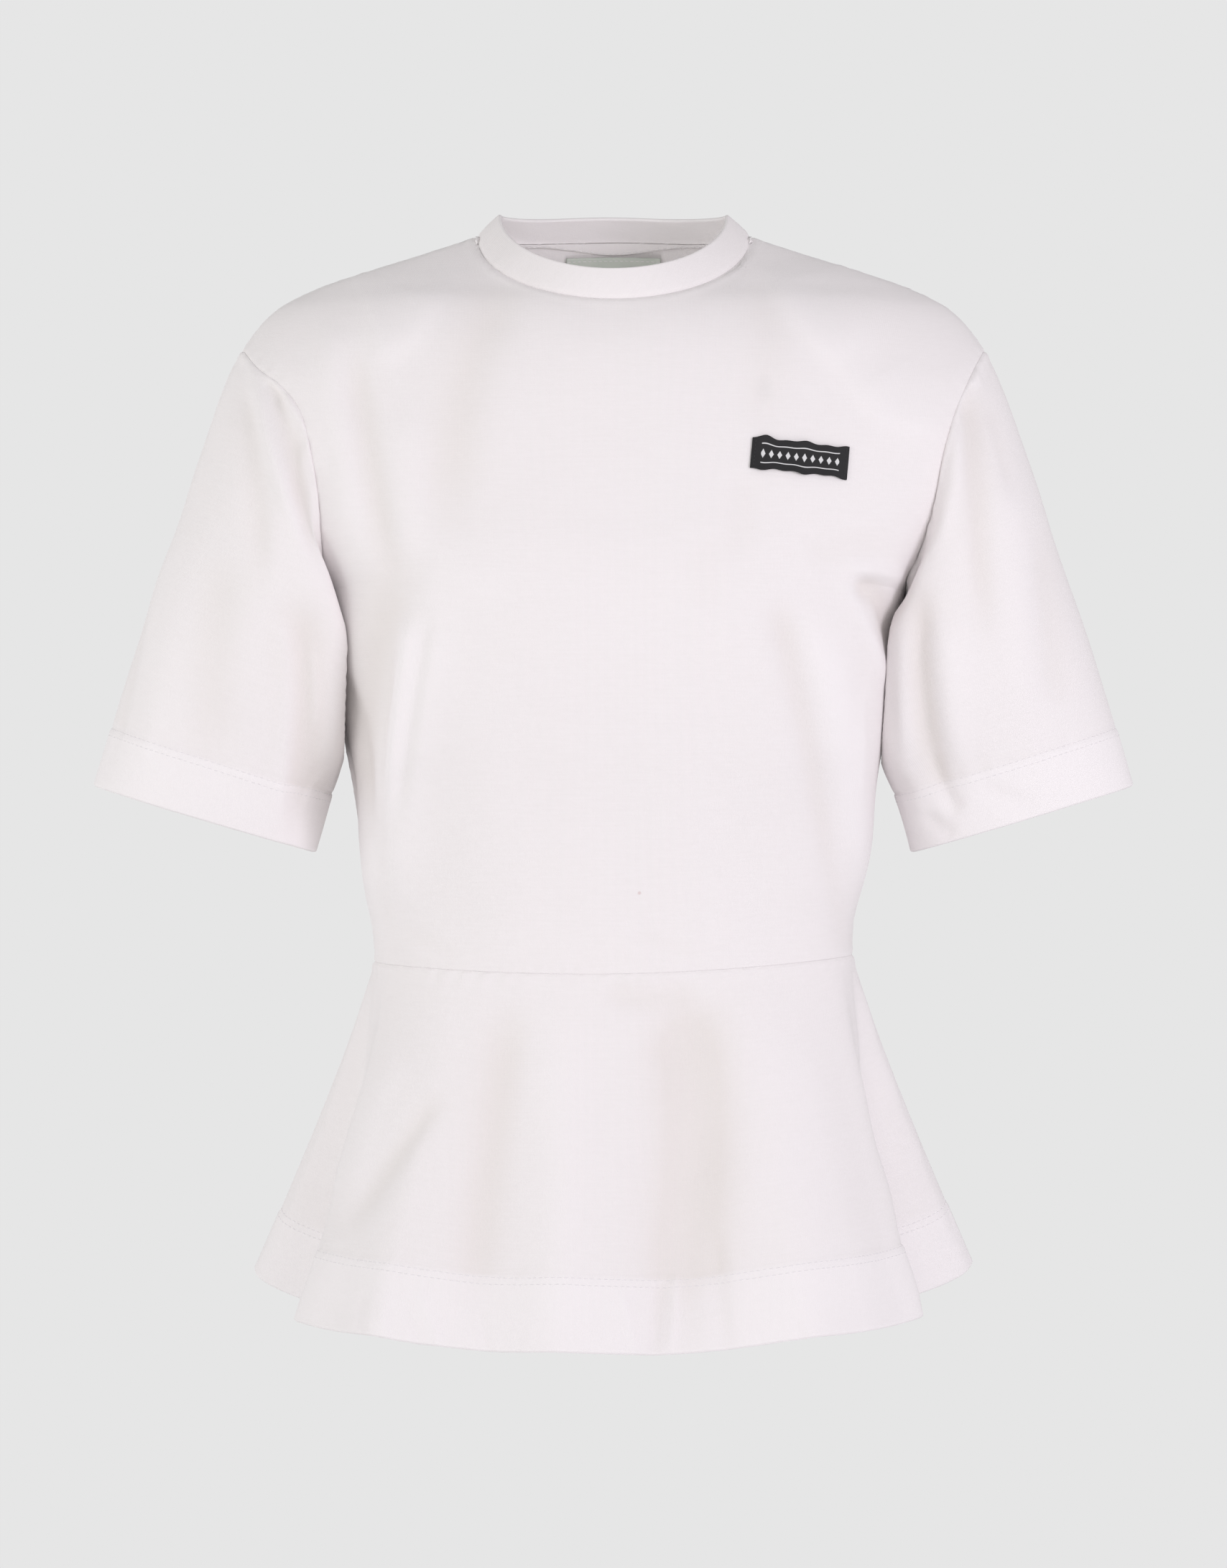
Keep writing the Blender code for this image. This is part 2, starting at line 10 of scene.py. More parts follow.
import bpy
import numpy as np
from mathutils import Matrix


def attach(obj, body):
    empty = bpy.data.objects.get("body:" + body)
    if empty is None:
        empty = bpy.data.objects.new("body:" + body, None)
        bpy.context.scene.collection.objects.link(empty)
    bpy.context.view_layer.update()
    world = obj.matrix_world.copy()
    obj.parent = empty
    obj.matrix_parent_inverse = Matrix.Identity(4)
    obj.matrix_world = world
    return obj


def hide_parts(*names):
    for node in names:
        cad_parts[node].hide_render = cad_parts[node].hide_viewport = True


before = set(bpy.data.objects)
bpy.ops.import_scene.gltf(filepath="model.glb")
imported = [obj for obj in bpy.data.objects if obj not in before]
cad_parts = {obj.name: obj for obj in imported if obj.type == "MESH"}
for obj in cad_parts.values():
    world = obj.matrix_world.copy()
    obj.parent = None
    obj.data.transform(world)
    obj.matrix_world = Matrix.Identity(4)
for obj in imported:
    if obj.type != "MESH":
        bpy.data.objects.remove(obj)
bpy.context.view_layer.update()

# Sizes shared with the solids

CLOTH = 0.0016
BAND_CLOTH = 0.0026
NECK_HALF_WIDTH = 0.0780
FRONT_NECK_DROP = 0.0426
BACK_NECK_LIFT = 0.0035
UNDERARM_HEIGHT = -0.2050
WAIST_HEIGHT = -0.4120
WAIST_FRONT_DIP = 0.0058
WAIST_TILT = 0.0020
BAND_NARROWING = 0.0130
BAND_SIDE_RISE = 0.0130
BAND_FRONT_LEAN = 0.0045
BAND_FRONT_RISE = 0.0176
BAND_BACK_LEAN = 0.0120
BAND_BACK_RISE = 0.0125
CUFF_CENTRE = (0.2325, -0.0040, -0.3330)
CUFF_TILT = 16.8
CUFF_HALF_WIDTH = 0.0655
CUFF_HALF_DEPTH = 0.0470
CUFF_SQUARENESS = 2.2
SLEEVE_CLEARANCE = 0.0009
SLEEVE_LAP = 0.0110
PEPLUM_FRONT_LENGTH = 0.2110
PEPLUM_SIDE_LENGTH = 0.1980
CHEST_LABEL_CENTRE = (0.1027, -0.1331)
CHEST_LABEL_WIDTH = 0.0540
CHEST_LABEL_DEPTH = 0.0165
CHEST_LABEL_TURN = -5.5
LABEL_CLOTH = 0.0008
INNER_LABEL_HALF_WIDTH = 0.0275
INNER_LABEL_TOP = -0.0095
INNER_LABEL_DEPTH = 0.0300

Section = namedtuple("Section", "height half_width front back middle squareness")
SECTIONS = [
    Section(0.000, 0.0780, 0.0120, 0.0550, 0.005, 1.80),
    Section(-0.010, 0.1090, 0.0300, 0.0600, 0.005, 1.75),
    Section(-0.020, 0.1410, 0.0470, 0.0640, 0.005, 1.70),
    Section(-0.030, 0.1700, 0.0620, 0.0680, 0.005, 1.70),
    Section(-0.042, 0.1925, 0.0785, 0.0730, 0.004, 1.75),
    Section(-0.055, 0.2050, 0.0880, 0.0780, 0.003, 1.80),
    Section(-0.070, 0.2145, 0.0950, 0.0830, 0.002, 1.85),
    Section(-0.090, 0.2235, 0.1010, 0.0880, 0.001, 1.90),
    Section(-0.112, 0.2260, 0.1060, 0.0930, 0.000, 1.95),
    Section(-0.135, 0.2170, 0.1110, 0.0980, -0.001, 2.00),
    Section(-0.160, 0.2000, 0.1150, 0.1020, -0.003, 2.10),
    Section(-0.185, 0.1800, 0.1190, 0.1050, -0.005, 2.20),
    Section(-0.205, 0.1660, 0.1200, 0.1060, -0.006, 2.30),
    Section(-0.235, 0.1610, 0.1190, 0.1050, -0.006, 2.35),
    Section(-0.262, 0.1575, 0.1150, 0.1020, -0.006, 2.40),
    Section(-0.290, 0.1532, 0.1090, 0.0970, -0.006, 2.40),
    Section(-0.314, 0.1487, 0.1040, 0.0920, -0.005, 2.35),
    Section(-0.342, 0.1443, 0.0990, 0.0860, -0.004, 2.30),
    Section(-0.370, 0.1397, 0.0960, 0.0810, -0.003, 2.25),
    Section(-0.395, 0.1367, 0.0950, 0.0780, -0.002, 2.20),
    Section(-0.425, 0.1360, 0.0960, 0.0780, -0.002, 2.20),
]

Armhole = namedtuple("Armhole", "height right_front left_front back")
ARMHOLE = [
    Armhole(-0.066, 0.2110, 0.2110, 0.2110),
    Armhole(-0.078, 0.2010, 0.2040, 0.2050),
    Armhole(-0.090, 0.1860, 0.1980, 0.1995),
    Armhole(-0.106, 0.1745, 0.1910, 0.1940),
    Armhole(-0.126, 0.1690, 0.1850, 0.1885),
    Armhole(-0.158, 0.1640, 0.1790, 0.1800),
    Armhole(-0.184, 0.1630, 0.1715, 0.1710),
    Armhole(-0.198, 0.1640, 0.1655, 0.1655),
    Armhole(-0.205, 0.1660, 0.1660, 0.1660),
]

SleeveRow = namedtuple("SleeveRow", "down front back out under")
SLEEVE_ROWS = [
    SleeveRow(0.00, 0.0000, 0.0000, 0.0000, 0.0000),
    SleeveRow(0.06, 0.0050, 0.0050, 0.0020, 0.0010),
    SleeveRow(0.15, 0.0100, 0.0100, 0.0030, 0.0070),
    SleeveRow(0.30, 0.0140, 0.0140, 0.0030, 0.0120),
    SleeveRow(0.45, 0.0140, 0.0140, 0.0025, 0.0120),
    SleeveRow(0.60, 0.0120, 0.0120, 0.0025, 0.0142),
    SleeveRow(0.80, 0.0060, 0.0060, 0.0020, 0.0065),
    SleeveRow(1.00, 0.0000, 0.0000, 0.0000, 0.0000),
]

Flute = namedtuple("Flute", "share across out")
FRONT_FLUTES_RIGHT = [
    Flute(0.000, 0.000, -0.1505),
    Flute(0.130, 0.029, -0.1540),
    Flute(0.330, 0.072, -0.1400),
    Flute(0.560, 0.128, -0.1345),
    Flute(0.680, 0.156, -0.1080),
    Flute(0.790, 0.1770, -0.0720),
    Flute(0.870, 0.1570, -0.0300),
    Flute(0.920, 0.1550, -0.0080),
    Flute(0.975, 0.2030, 0.0270),
    Flute(1.000, 0.2080, 0.0400),
]
FRONT_FLUTES_LEFT = [
    Flute(0.000, 0.000, -0.1505),
    Flute(0.130, 0.030, -0.1440),
    Flute(0.440, 0.103, -0.1440),
    Flute(0.600, 0.138, -0.1220),
    Flute(0.710, 0.159, -0.0950),
    Flute(0.790, 0.1725, -0.0720),
    Flute(0.870, 0.1550, -0.0280),
    Flute(0.920, 0.1530, -0.0060),
    Flute(0.975, 0.2030, 0.0270),
    Flute(1.000, 0.2080, 0.0400),
]
BACK_FLUTES_RIGHT = [
    Flute(0.000, 0.000, 0.1480),
    Flute(0.150, 0.034, 0.1560),
    Flute(0.330, 0.078, 0.1240),
    Flute(0.500, 0.118, 0.1360),
    Flute(0.640, 0.142, 0.1000),
    Flute(0.770, 0.176, 0.1060),
    Flute(0.880, 0.166, 0.0760),
    Flute(0.965, 0.2030, 0.0560),
    Flute(1.000, 0.2080, 0.0400),
]
BACK_FLUTES_LEFT = [
    Flute(0.000, 0.000, 0.1480),
    Flute(0.160, 0.038, 0.1290),
    Flute(0.350, 0.086, 0.1460),
    Flute(0.520, 0.112, 0.1080),
    Flute(0.680, 0.160, 0.1150),
    Flute(0.810, 0.163, 0.0840),
    Flute(0.900, 0.178, 0.0690),
    Flute(0.970, 0.2040, 0.0540),
    Flute(1.000, 0.2080, 0.0400),
]

# Creases

Crease = namedtuple("Crease", "line width rise step")


def creases(*rows):
    """Creases from rows in millimetres, as seen from the front or from behind.

    A row holds three points (across, height) on the line, its half width, how far it stands up (+) or
    goes in (-), and True where it is instead a step that raises the cloth on its left-hand side.
    """
    return [
        Crease(np.reshape(row[:6], (3, 2)) / 1000, row[6] / 1000, row[7] / 1000, len(row) > 8)
        for row in rows
    ]


FRONT_CREASES = creases(
    # from the bust to the waist, on the wearer's right
    (-100, -215, -118, -300, -131, -395, 16, 5),
    (-122, -190, -136, -260, -146, -330, 16, -4),
    (-102, -222, -109, -272, -120, -340, 4, -2.6),
    (-112, -222, -118, -262, -125, -330, 4.6, 2.6),
    (-122, -240, -126.5, -310, -125, -402, 3.8, -2.2),
    (-157, -245, -143, -292, -130, -352, 5, -2.6),
    (-105, -197, -86, -201, -58, -204, 13, 1.2),
    # from the bust to the waist, on the wearer's left
    (110, -222, 127, -292, 139, -388, 15, 4.6),
    (90, -216, 107, -276, 131, -396, 8, -4.2),
    (143, -254, 137, -290, 135, -332, 4, 1.1),
    (141, -262, 140.5, -274, 139.5, -286, 2.6, -0.8),
    # the drag that ends in the wearer's left underarm
    (128, -194, 146, -194, 163, -198, 5, 2.2),
    (134, -204, 150, -211, 157, -238, 5.8, -5),
    (126, -200, 139, -223, 152, -250, 3.6, 2.2),
    (141, -230, 147, -243, 151, -258, 2.8, 0.9),
    (108, -188, 128, -181, 156, -180, 9, -1.2),
    # hollows of the chest on the wearer's right
    (-62, -35, -83, -90, -92, -168, 15, -3),
    (-146, -74, -137, -130, -124, -194, 8.5, -3.6),
    (-158, -52, -153, -110, -143, -188, 10, 2),
    (-114, -105, -113, -146, -112, -186, 10, 1.3),
    # edges of the shoulder pads under the cloth
    (-134, -80, -109, -66, -92, -32, 5, 2.6, True),
    (85, -24, 100, -56, 129, -88, 5, 2.6, True),
    (128, -87, 150, -112, 184, -119, 5, 2.2, True),
    # soft shapes beside the label
    (83, -30, 84, -72, 80, -112, 13, -1.4),
    (71, -142, 71, -164, 66, -190, 10, -1),
    (52, -176, 49, -196, 52, -218, 11, -0.8),
    # short ones above the waist seam
    (12, -394, 28, -401, 48, -408, 3.6, -0.7),
    (-118, -392, -104, -402, -86, -410, 4, -0.7),
)

PEPLUM_FRONT_CREASES = creases(
    (-58, -438, -68, -510, -79, -606, 13, -4.2),
    (-30, -438, -30, -520, -28, -604, 16, 2.2),
    (34, -438, 45, -500, 32, -620, 20, -7.8),
    (-4, -425, 20, -431, 46, -427, 7.5, -2.4),
    (26, -582, 24, -603, 22, -624, 3.2, -1.8),
    (34, -576, 33, -600, 30, -624, 3, 1.4),
    (56, -560, 58, -590, 61, -624, 5.6, -1.8),
    (-98, -486, -118, -514, -146, -557, 6.6, -2.6),
    (-118, -462, -136, -505, -152, -546, 12, 2.2),
    (92, -446, 106, -520, 120, -590, 20, 2.2),
    # puckers of the hem
    (-106, -590, -100, -604, -94, -623, 2.8, 1.1),
    (-113, -596, -109, -608, -104, -621, 2.6, -0.8),
    (-127, -600, -125, -609, -123, -619, 3, 0.8),
    (-137, -592, -138, -603, -138, -615, 3.4, -0.8),
    (3, -588, 8, -604, 12, -622, 3, 1.1),
    (-72, -600, -70, -610, -69, -622, 3, -0.6),
    (100, -604, 102, -612, 103, -620, 3, -0.6),
)

BACK_CREASES = creases(
    (-80, -20, -110, -80, -150, -150, 18, -2.6),
    (80, -20, 104, -80, 148, -140, 18, -2.2),
    (-150, -196, -120, -222, -70, -236, 6, -3),
    (152, -192, 118, -225, 74, -246, 6.6, -2.8),
    (-148, -214, -118, -240, -74, -252, 7, 2),
    (150, -210, 120, -244, 80, -262, 7, 1.8),
    (-100, -250, -112, -320, -122, -395, 14, 3),
    (-88, -262, -100, -326, -112, -398, 6, -2),
    (104, -246, 114, -318, 124, -395, 14, 2.8),
    (92, -270, 103, -330, 115, -398, 5.6, -1.8),
    (-30, -330, -34, -370, -30, -410, 10, -1.8),
    (48, -320, 52, -370, 50, -410, 10, -1.8),
    (-60, -388, -40, -396, -14, -402, 4.4, -0.9),
    (-134, -74, -110, -60, -94, -26, 4.4, 1.4, True),
    (92, -26, 108, -58, 134, -76, 4.4, 1.4, True),
)

PEPLUM_BACK_CREASES = creases(
    (-60, -440, -72, -520, -84, -606, 12, -3),
    (26, -440, 34, -520, 44, -606, 12, 2.8),
    (70, -436, 84, -500, 104, -560, 8, -2.2),
    (-20, -426, 4, -432, 30, -428, 7, -1.8),
    (-120, -490, -132, -530, -146, -566, 7, -2),
    (-40, -596, -42, -608, -44, -620, 3, 0.9),
    (64, -592, 67, -604, 72, -618, 3, 0.9),
    (110, -594, 114, -604, 117, -616, 3.2, -0.8),
)

RIGHT_SLEEVE_CREASES = creases(
    (-203, -82, -190, -128, -168, -192, 4.6, 2.6),
    (-195, -70, -185, -112, -171, -170, 4.4, -2.6),
    (-206, -90, -202, -134, -196, -200, 7, -2.2),
    (-187, -91, -180, -92, -175, -108, 4.6, 2.6),
    (-178, -114, -174, -145, -166, -188, 5, -3),
    (-177, -212, -171, -275, -177, -352, 13.5, -5.6),
    (-187, -224, -180, -262, -190, -348, 6, 2.8),
    (-168.5, -232, -166, -262, -166, -284, 3.4, 1.6),
    (-262, -200, -272, -250, -284, -304, 4, -1.4),
    (-222, -186, -224, -240, -227, -304, 14, -2),
    (-244, -166, -252, -230, -262, -304, 14, 2),
)
LEFT_SLEEVE_CREASES = creases(
    (170.5, -205, 172, -258, 182, -310, 8.5, -5.6),
    (179, -298, 186, -317, 194, -329, 4.8, -3.2),
    (176, -330, 184, -337, 192, -341, 4.4, -2),
    (165, -222, 162, -262, 165, -302, 5, 2.2),
    (184, -222, 188, -262, 192, -304, 12, 2.6),
    (200, -90, 203, -140, 207, -226, 7.6, -4),
    (200.5, -77, 201.5, -83, 201.5, -88, 4, 2),
    (194, -102, 191, -140, 181, -182, 4, 1.4),
    (212, -98, 217, -120, 223, -152, 4.2, -1.3),
    (222, -140, 226, -200, 229, -270, 10, 1.4),
    (240, -172, 246, -225, 251, -268, 9.2, -1.8),
    (208, -316, 224, -322, 240, -333, 5.6, -1.4),
)
RIGHT_SLEEVE_BACK_CREASES = creases(
    (-202, -86, -198, -130, -186, -190, 6, -2.8),
    (-194, -90, -186, -130, -176, -180, 6, 2),
    (-178, -214, -178, -270, -186, -340, 9, -5.6),
    (-190, -222, -192, -268, -199, -330, 9, 2.4),
    (-236, -170, -242, -226, -250, -290, 11, -1.8),
)
LEFT_SLEEVE_BACK_CREASES = creases(
    (200, -88, 200, -132, 194, -188, 6.6, -3),
    (190, -98, 184, -140, 176, -186, 5.6, 2),
    (180, -212, 176, -266, 182, -338, 9, -6),
    (192, -218, 192, -270, 198, -334, 9, 2.4),
    (232, -160, 240, -220, 246, -280, 11, -1.8),
)

# Curves and fields

DENSE = 120
CREASE_OVERRUN, CREASE_FADE = 0.12, 0.35
STEP_REACH = 7


def through(xs, ys, x):
    """The smooth curve through the points (xs, ys), xs rising, that never overshoots them."""
    xs, ys = np.asarray(xs, float), np.asarray(ys, float)
    step = np.diff(xs)
    slope = np.diff(ys) / step
    tangent = np.zeros(len(xs))
    before, after = slope[:-1], slope[1:]
    both = before * after > 0
    tangent[1:-1][both] = 2 * before[both] * after[both] / (before[both] + after[both])
    tangent[0], tangent[-1] = slope[0], slope[-1]
    x = np.clip(x, xs[0], xs[-1])
    i = np.clip(np.searchsorted(xs, x, side="right") - 1, 0, len(xs) - 2)
    w = step[i]
    t = (x - xs[i]) / w
    return (
        ys[i] * (1 + 2 * t) * (1 - t) ** 2
        + tangent[i] * w * t * (1 - t) ** 2
        + ys[i + 1] * t * t * (3 - 2 * t)
        + tangent[i + 1] * w * t * t * (t - 1)
    )


def column(table, key, name, at):
    """One named column of a table, read at any value of its key column."""
    rows = sorted(table, key=lambda row: getattr(row, key))
    return through([getattr(r, key) for r in rows], [getattr(r, name) for r in rows], at)


def eased(x):
    x = np.clip(x, 0.0, 1.0)
    return x * x * (3 - 2 * x)


def unit(v):
    return v / np.maximum(np.linalg.norm(v, axis=-1, keepdims=True), 1e-12)


def crease_rise(rows, u, v):
    """How far creases lift the cloth at points (u, v)."""
    rise = np.zeros_like(u)
    pieces = 8
    for c in rows:
        start, middle, end = c.line
        bend = 2 * middle - 0.5 * (start + end)
        t = np.linspace(0, 1, pieces + 1)[:, None]
        line = start * (1 - t) ** 2 + bend * 2 * t * (1 - t) + end * t * t
        nearest = np.full_like(u, 1e9)
        along = np.zeros_like(u)
        side = np.ones_like(u)
        for k in range(pieces):
            run = line[k + 1] - line[k]
            du, dv = u - line[k, 0], v - line[k, 1]
            share = (du * run[0] + dv * run[1]) / (run @ run)
            low = -2.0 if k == 0 else 0.0
            high = 3.0 if k == pieces - 1 else 1.0
            held = np.clip(share, low, high)
            off = np.hypot(du - held * run[0], dv - held * run[1])
            closer = off < nearest
            nearest = np.where(closer, off, nearest)
            along = np.where(closer, (k + held) / pieces, along)
            side = np.where(closer, np.sign(run[0] * dv - run[1] * du), side)
        fade = eased((along + CREASE_OVERRUN) / CREASE_FADE)
        fade *= eased((1 + CREASE_OVERRUN - along) / CREASE_FADE)
        if c.step:
            far = np.exp(-((nearest / (STEP_REACH * c.width)) ** 2))
            rise += c.rise * fade * far * 0.5 * (1 + np.tanh(side * nearest / c.width))
        else:
            rise += c.rise * fade * np.exp(-((nearest / c.width) ** 2))
    return rise


def ripple(u, v, seed, size, height, count=7):
    """Gentle unevenness: a few waves in seeded directions, none shorter than size metres."""
    rng = np.random.default_rng(seed)
    total = np.zeros_like(u)
    for _ in range(count):
        turn, length, phase = rng.uniform(0, np.pi), size * rng.uniform(1, 2.6), rng.uniform(0, 6.28)
        total += np.sin(2 * np.pi * (u * np.cos(turn) + v * np.sin(turn)) / length + phase)
    return height * total / np.sqrt(count)


def pucker(along, off, seed, reach=0.007, height=0.00035, pitch=0.0085):
    """Small uneven gathers that the needle leaves beside a seam."""
    rng = np.random.default_rng(seed)
    wave = np.zeros_like(along)
    for k in range(4):
        wave += np.sin(2 * np.pi * along / (pitch * rng.uniform(0.75, 1.7)) + rng.uniform(0, 6.28))
    return height * 0.5 * wave * np.exp(-((off / reach) ** 2))


def to_edge(grid, edge):
    """Distance of each point of a grid from a line of points, and how far along the line that is."""
    points = grid.reshape(-1, 3)
    run = lengths(edge[None], 1)[0]
    nearest = np.full(len(points), 1e9)
    along = np.zeros(len(points))
    for k in range(len(edge) - 1):
        step = edge[k + 1] - edge[k]
        share = np.clip((points - edge[k]) @ step / (step @ step), 0, 1)
        off = np.linalg.norm(points - edge[k] - share[:, None] * step, axis=1)
        closer = off < nearest
        nearest[closer] = off[closer]
        along[closer] = run[k] + share[closer] * (run[k + 1] - run[k])
    return nearest.reshape(grid.shape[:2]), along.reshape(grid.shape[:2])


def lengths(grid, axis):
    """Distance run along a grid from its first row or column."""
    steps = np.linalg.norm(np.diff(grid, axis=axis), axis=-1)
    total = np.cumsum(steps, axis=axis)
    first = np.zeros_like(np.take(total, [0], axis=axis))
    return np.concatenate([first, total], axis=axis)


# Forms of the pieces


def bodice_surface(across, height, front):
    half, power, middle = (
        column(SECTIONS, "height", name, height) for name in ("half_width", "squareness", "middle")
    )
    share = np.clip(np.abs(across) / half, 0, 1)
    bulge = (1 - share**power) ** (1 / power)
    if front:
        ahead = column(SECTIONS, "height", "front", height) * bulge
        return np.stack([across, middle - ahead, height], -1)
    out = column(SECTIONS, "height", "back", height) * bulge
    near_neck = eased(1 - np.abs(across) / NECK_HALF_WIDTH) * eased((height + 0.05) / 0.05)
    return np.stack([across, middle + out, height + BACK_NECK_LIFT * near_neck], -1)


def waist_height(share, side):
    return WAIST_HEIGHT - WAIST_FRONT_DIP * np.cos(share * np.pi / 2) + side * WAIST_TILT * share


def top_height(across, front, rise=1.0):
    """Height of the panel's top edge. Lower rows (rise < 1) follow the neckline's curve more softly."""
    heights = np.linspace(-0.08, 0, 2001)
    ridge = np.interp(across, column(SECTIONS, "height", "half_width", heights)[::-1], heights[::-1])
    share = np.clip(across / NECK_HALF_WIDTH, 0, 1)
    neckline = -FRONT_NECK_DROP * (1 - share**2) ** (0.5 + 6 * (1 - rise)) if front else 0.0 * share
    return np.where(share < 1, neckline, ridge)


def two_part(corner, first, second):
    return np.concatenate([np.linspace(0, corner, first + 1)[:-1], np.linspace(corner, 1, second + 1)])


def spaced(points, shares):
    """Points at these shares of the length of a line of points."""
    steps = np.linalg.norm(np.diff(points, axis=0), axis=1)
    along = np.concatenate([[0.0], np.cumsum(steps)])
    return np.stack([np.interp(shares * along[-1], along, points[:, i]) for i in range(3)], -1)


def thinned(line, first, second):
    """A dense line read at shares of its length, on each side of its middle point."""
    return np.concatenate([spaced(line[: DENSE + 1], first[:-1]), spaced(line[DENSE:], second)])


def shares(count, fine_start=0.0, fine_end=0.0):
    """Even shares from 0 to 1, with a few close ones at an end whose length in metres is given."""
    close = np.array([0.0004, 0.0009, 0.0015, 0.0023, 0.0033])
    even = np.linspace(0, 1, count + 1)
    extra = []
    if fine_start:
        extra.append(close / fine_start)
        even = even[(even == 0) | (even > 0.0040 / fine_start)]
    if fine_end:
        extra.append(1 - close / fine_end)
        even = even[(even == 1) | (even < 1 - 0.0040 / fine_end)]
    return np.sort(np.concatenate([even, *extra]))


def half_panel(front, side, counts):
    """One half of a bodice panel: rows from the waist up, columns from the centre line out."""
    armhole = ("left_front" if side > 0 else "right_front") if front else "back"
    tip = column(SECTIONS, "height", "half_width", ARMHOLE[0].height)
    low = ARMHOLE[-1].height
    neck, underarm = NECK_HALF_WIDTH / tip, 0.56
    out = two_part(neck, DENSE, DENSE)
    rise = two_part(underarm, DENSE, DENSE)
    lower = np.clip(rise / underarm, 0, 1)
    upper = np.clip((rise - underarm) / (1 - underarm), 0, 1)
    edge_waist = waist_height(1.0, side)
    edge_z = edge_waist + (low - edge_waist) * lower + (ARMHOLE[0].height - low) * upper
    edge_x = np.where(
        upper > 0,
        column(ARMHOLE, "height", armhole, edge_z),
        column(SECTIONS, "height", "half_width", edge_z),
    )
    edge_x[-1] = tip
    top = top_height(out * tip, front)
    waist = waist_height(out, side)
    centre_z = waist[0] + (top[0] - waist[0]) * rise
    z = centre_z[:, None] * (1 - out) + edge_z[:, None] * out
    z += (1 - rise[:, None]) * (waist - waist[0] * (1 - out) - waist[-1] * out)
    soft_top = top_height(out * tip, front, rise[:, None])
    z += rise[:, None] ** 4 * (soft_top - top[0] * (1 - out) - edge_z[-1] * out)
    dense = bodice_surface(side * edge_x[:, None] * out, z, front)
    dense[-1, DENSE:, 1] = column(SECTIONS, "height", "middle", dense[-1, DENSE:, 2])
    neck_columns, shoulder_columns, side_rows, armhole_rows = counts
    rows = np.stack([thinned(row, neck_columns, shoulder_columns) for row in dense])
    return np.stack([thinned(line, side_rows, armhole_rows) for line in rows.swapaxes(0, 1)], 1)


def bodice_panel(front, counts):
    right, left = (half_panel(front, side, counts) for side in (-1, 1))
    return np.concatenate([right[:, :0:-1], left], axis=1)


def armhole_loop(front, back, side, underarm_row):
    """The armhole's points from the shoulder, down the front and up the back."""
    edge = -1 if side > 0 else 0
    return np.concatenate([front[underarm_row:, edge][::-1], back[underarm_row + 1 : -1, edge]])


def rounded(angle, power):
    c, s = np.cos(angle), np.sin(angle)
    size = (np.abs(c) ** power + np.abs(s) ** power) ** (-1 / power)
    return c * size, s * size


def beside_bodice(points, side):
    """Sleeve points below the armhole, moved out where they would touch the side of the bodice."""
    height = points[..., 2]
    half, power, middle, front, back = (
        column(SECTIONS, "height", name, height)
        for name in ("half_width", "squareness", "middle", "front", "back")
    )
    ahead = points[..., 1] - middle
    share = np.clip(np.abs(ahead) / np.where(ahead < 0, front, back), 0, 1)
    nearest = half * (1 - share**power) ** (1 / power)
    nearest += SLEEVE_CLEARANCE * eased((UNDERARM_HEIGHT - height) / 0.020)
    away = side * points[..., 0]
    away = np.where(height < UNDERARM_HEIGHT, np.maximum(away, nearest), away)
    return np.stack([side * away, points[..., 1], points[..., 2]], -1)


def sleeve_form(loop, side, down):
    """Sleeve points; down is a grid of shares of the way from the armhole, a row for each ring."""
    around = np.arange(len(loop)) / len(loop)
    out, forward = rounded(2 * np.pi * around, CUFF_SQUARENESS)
    tilt = np.radians(CUFF_TILT)
    cuff = np.stack(
        [
            side * (CUFF_CENTRE[0] + CUFF_HALF_WIDTH * out * np.cos(tilt)),
            CUFF_CENTRE[1] - CUFF_HALF_DEPTH * forward,
            CUFF_CENTRE[2] + CUFF_HALF_WIDTH * out * np.sin(tilt),
        ],
        -1,
    )
    push = {n: column(SLEEVE_ROWS, "down", n, down) for n in ("front", "back", "out", "under")}
    across = np.where(out > 0, push["out"], push["under"]) * out
    inner_front = 2 * np.clip(-out, 0, 1) * np.clip(forward, 0, 1)
    across = across - SLEEVE_LAP * inner_front * eased(down / 0.25) * eased((0.80 - down) / 0.35)
    ahead = np.where(forward > 0, push["front"], push["back"]) * forward
    shift = np.stack([side * across, -ahead, across * np.sin(tilt)], -1)
    return beside_bodice(loop * (1 - down[..., None]) + cuff * down[..., None] + shift, side)


def neck_form(seam, steps):
    share = np.clip(seam[:, 0] / NECK_HALF_WIDTH, -1, 1)
    middle = np.sqrt(1 - share**2)
    is_front = np.arange(len(seam)) < len(seam) // 2
    lean = np.where(is_front, BAND_FRONT_LEAN, -BAND_BACK_LEAN) * middle
    rise = np.where(is_front, BAND_FRONT_RISE, BAND_BACK_RISE) * middle + BAND_SIDE_RISE * (1 - middle)
    shift = np.stack([-BAND_NARROWING * share, lean, rise], -1)
    return seam + shift * np.asarray(steps)[:, None, None]


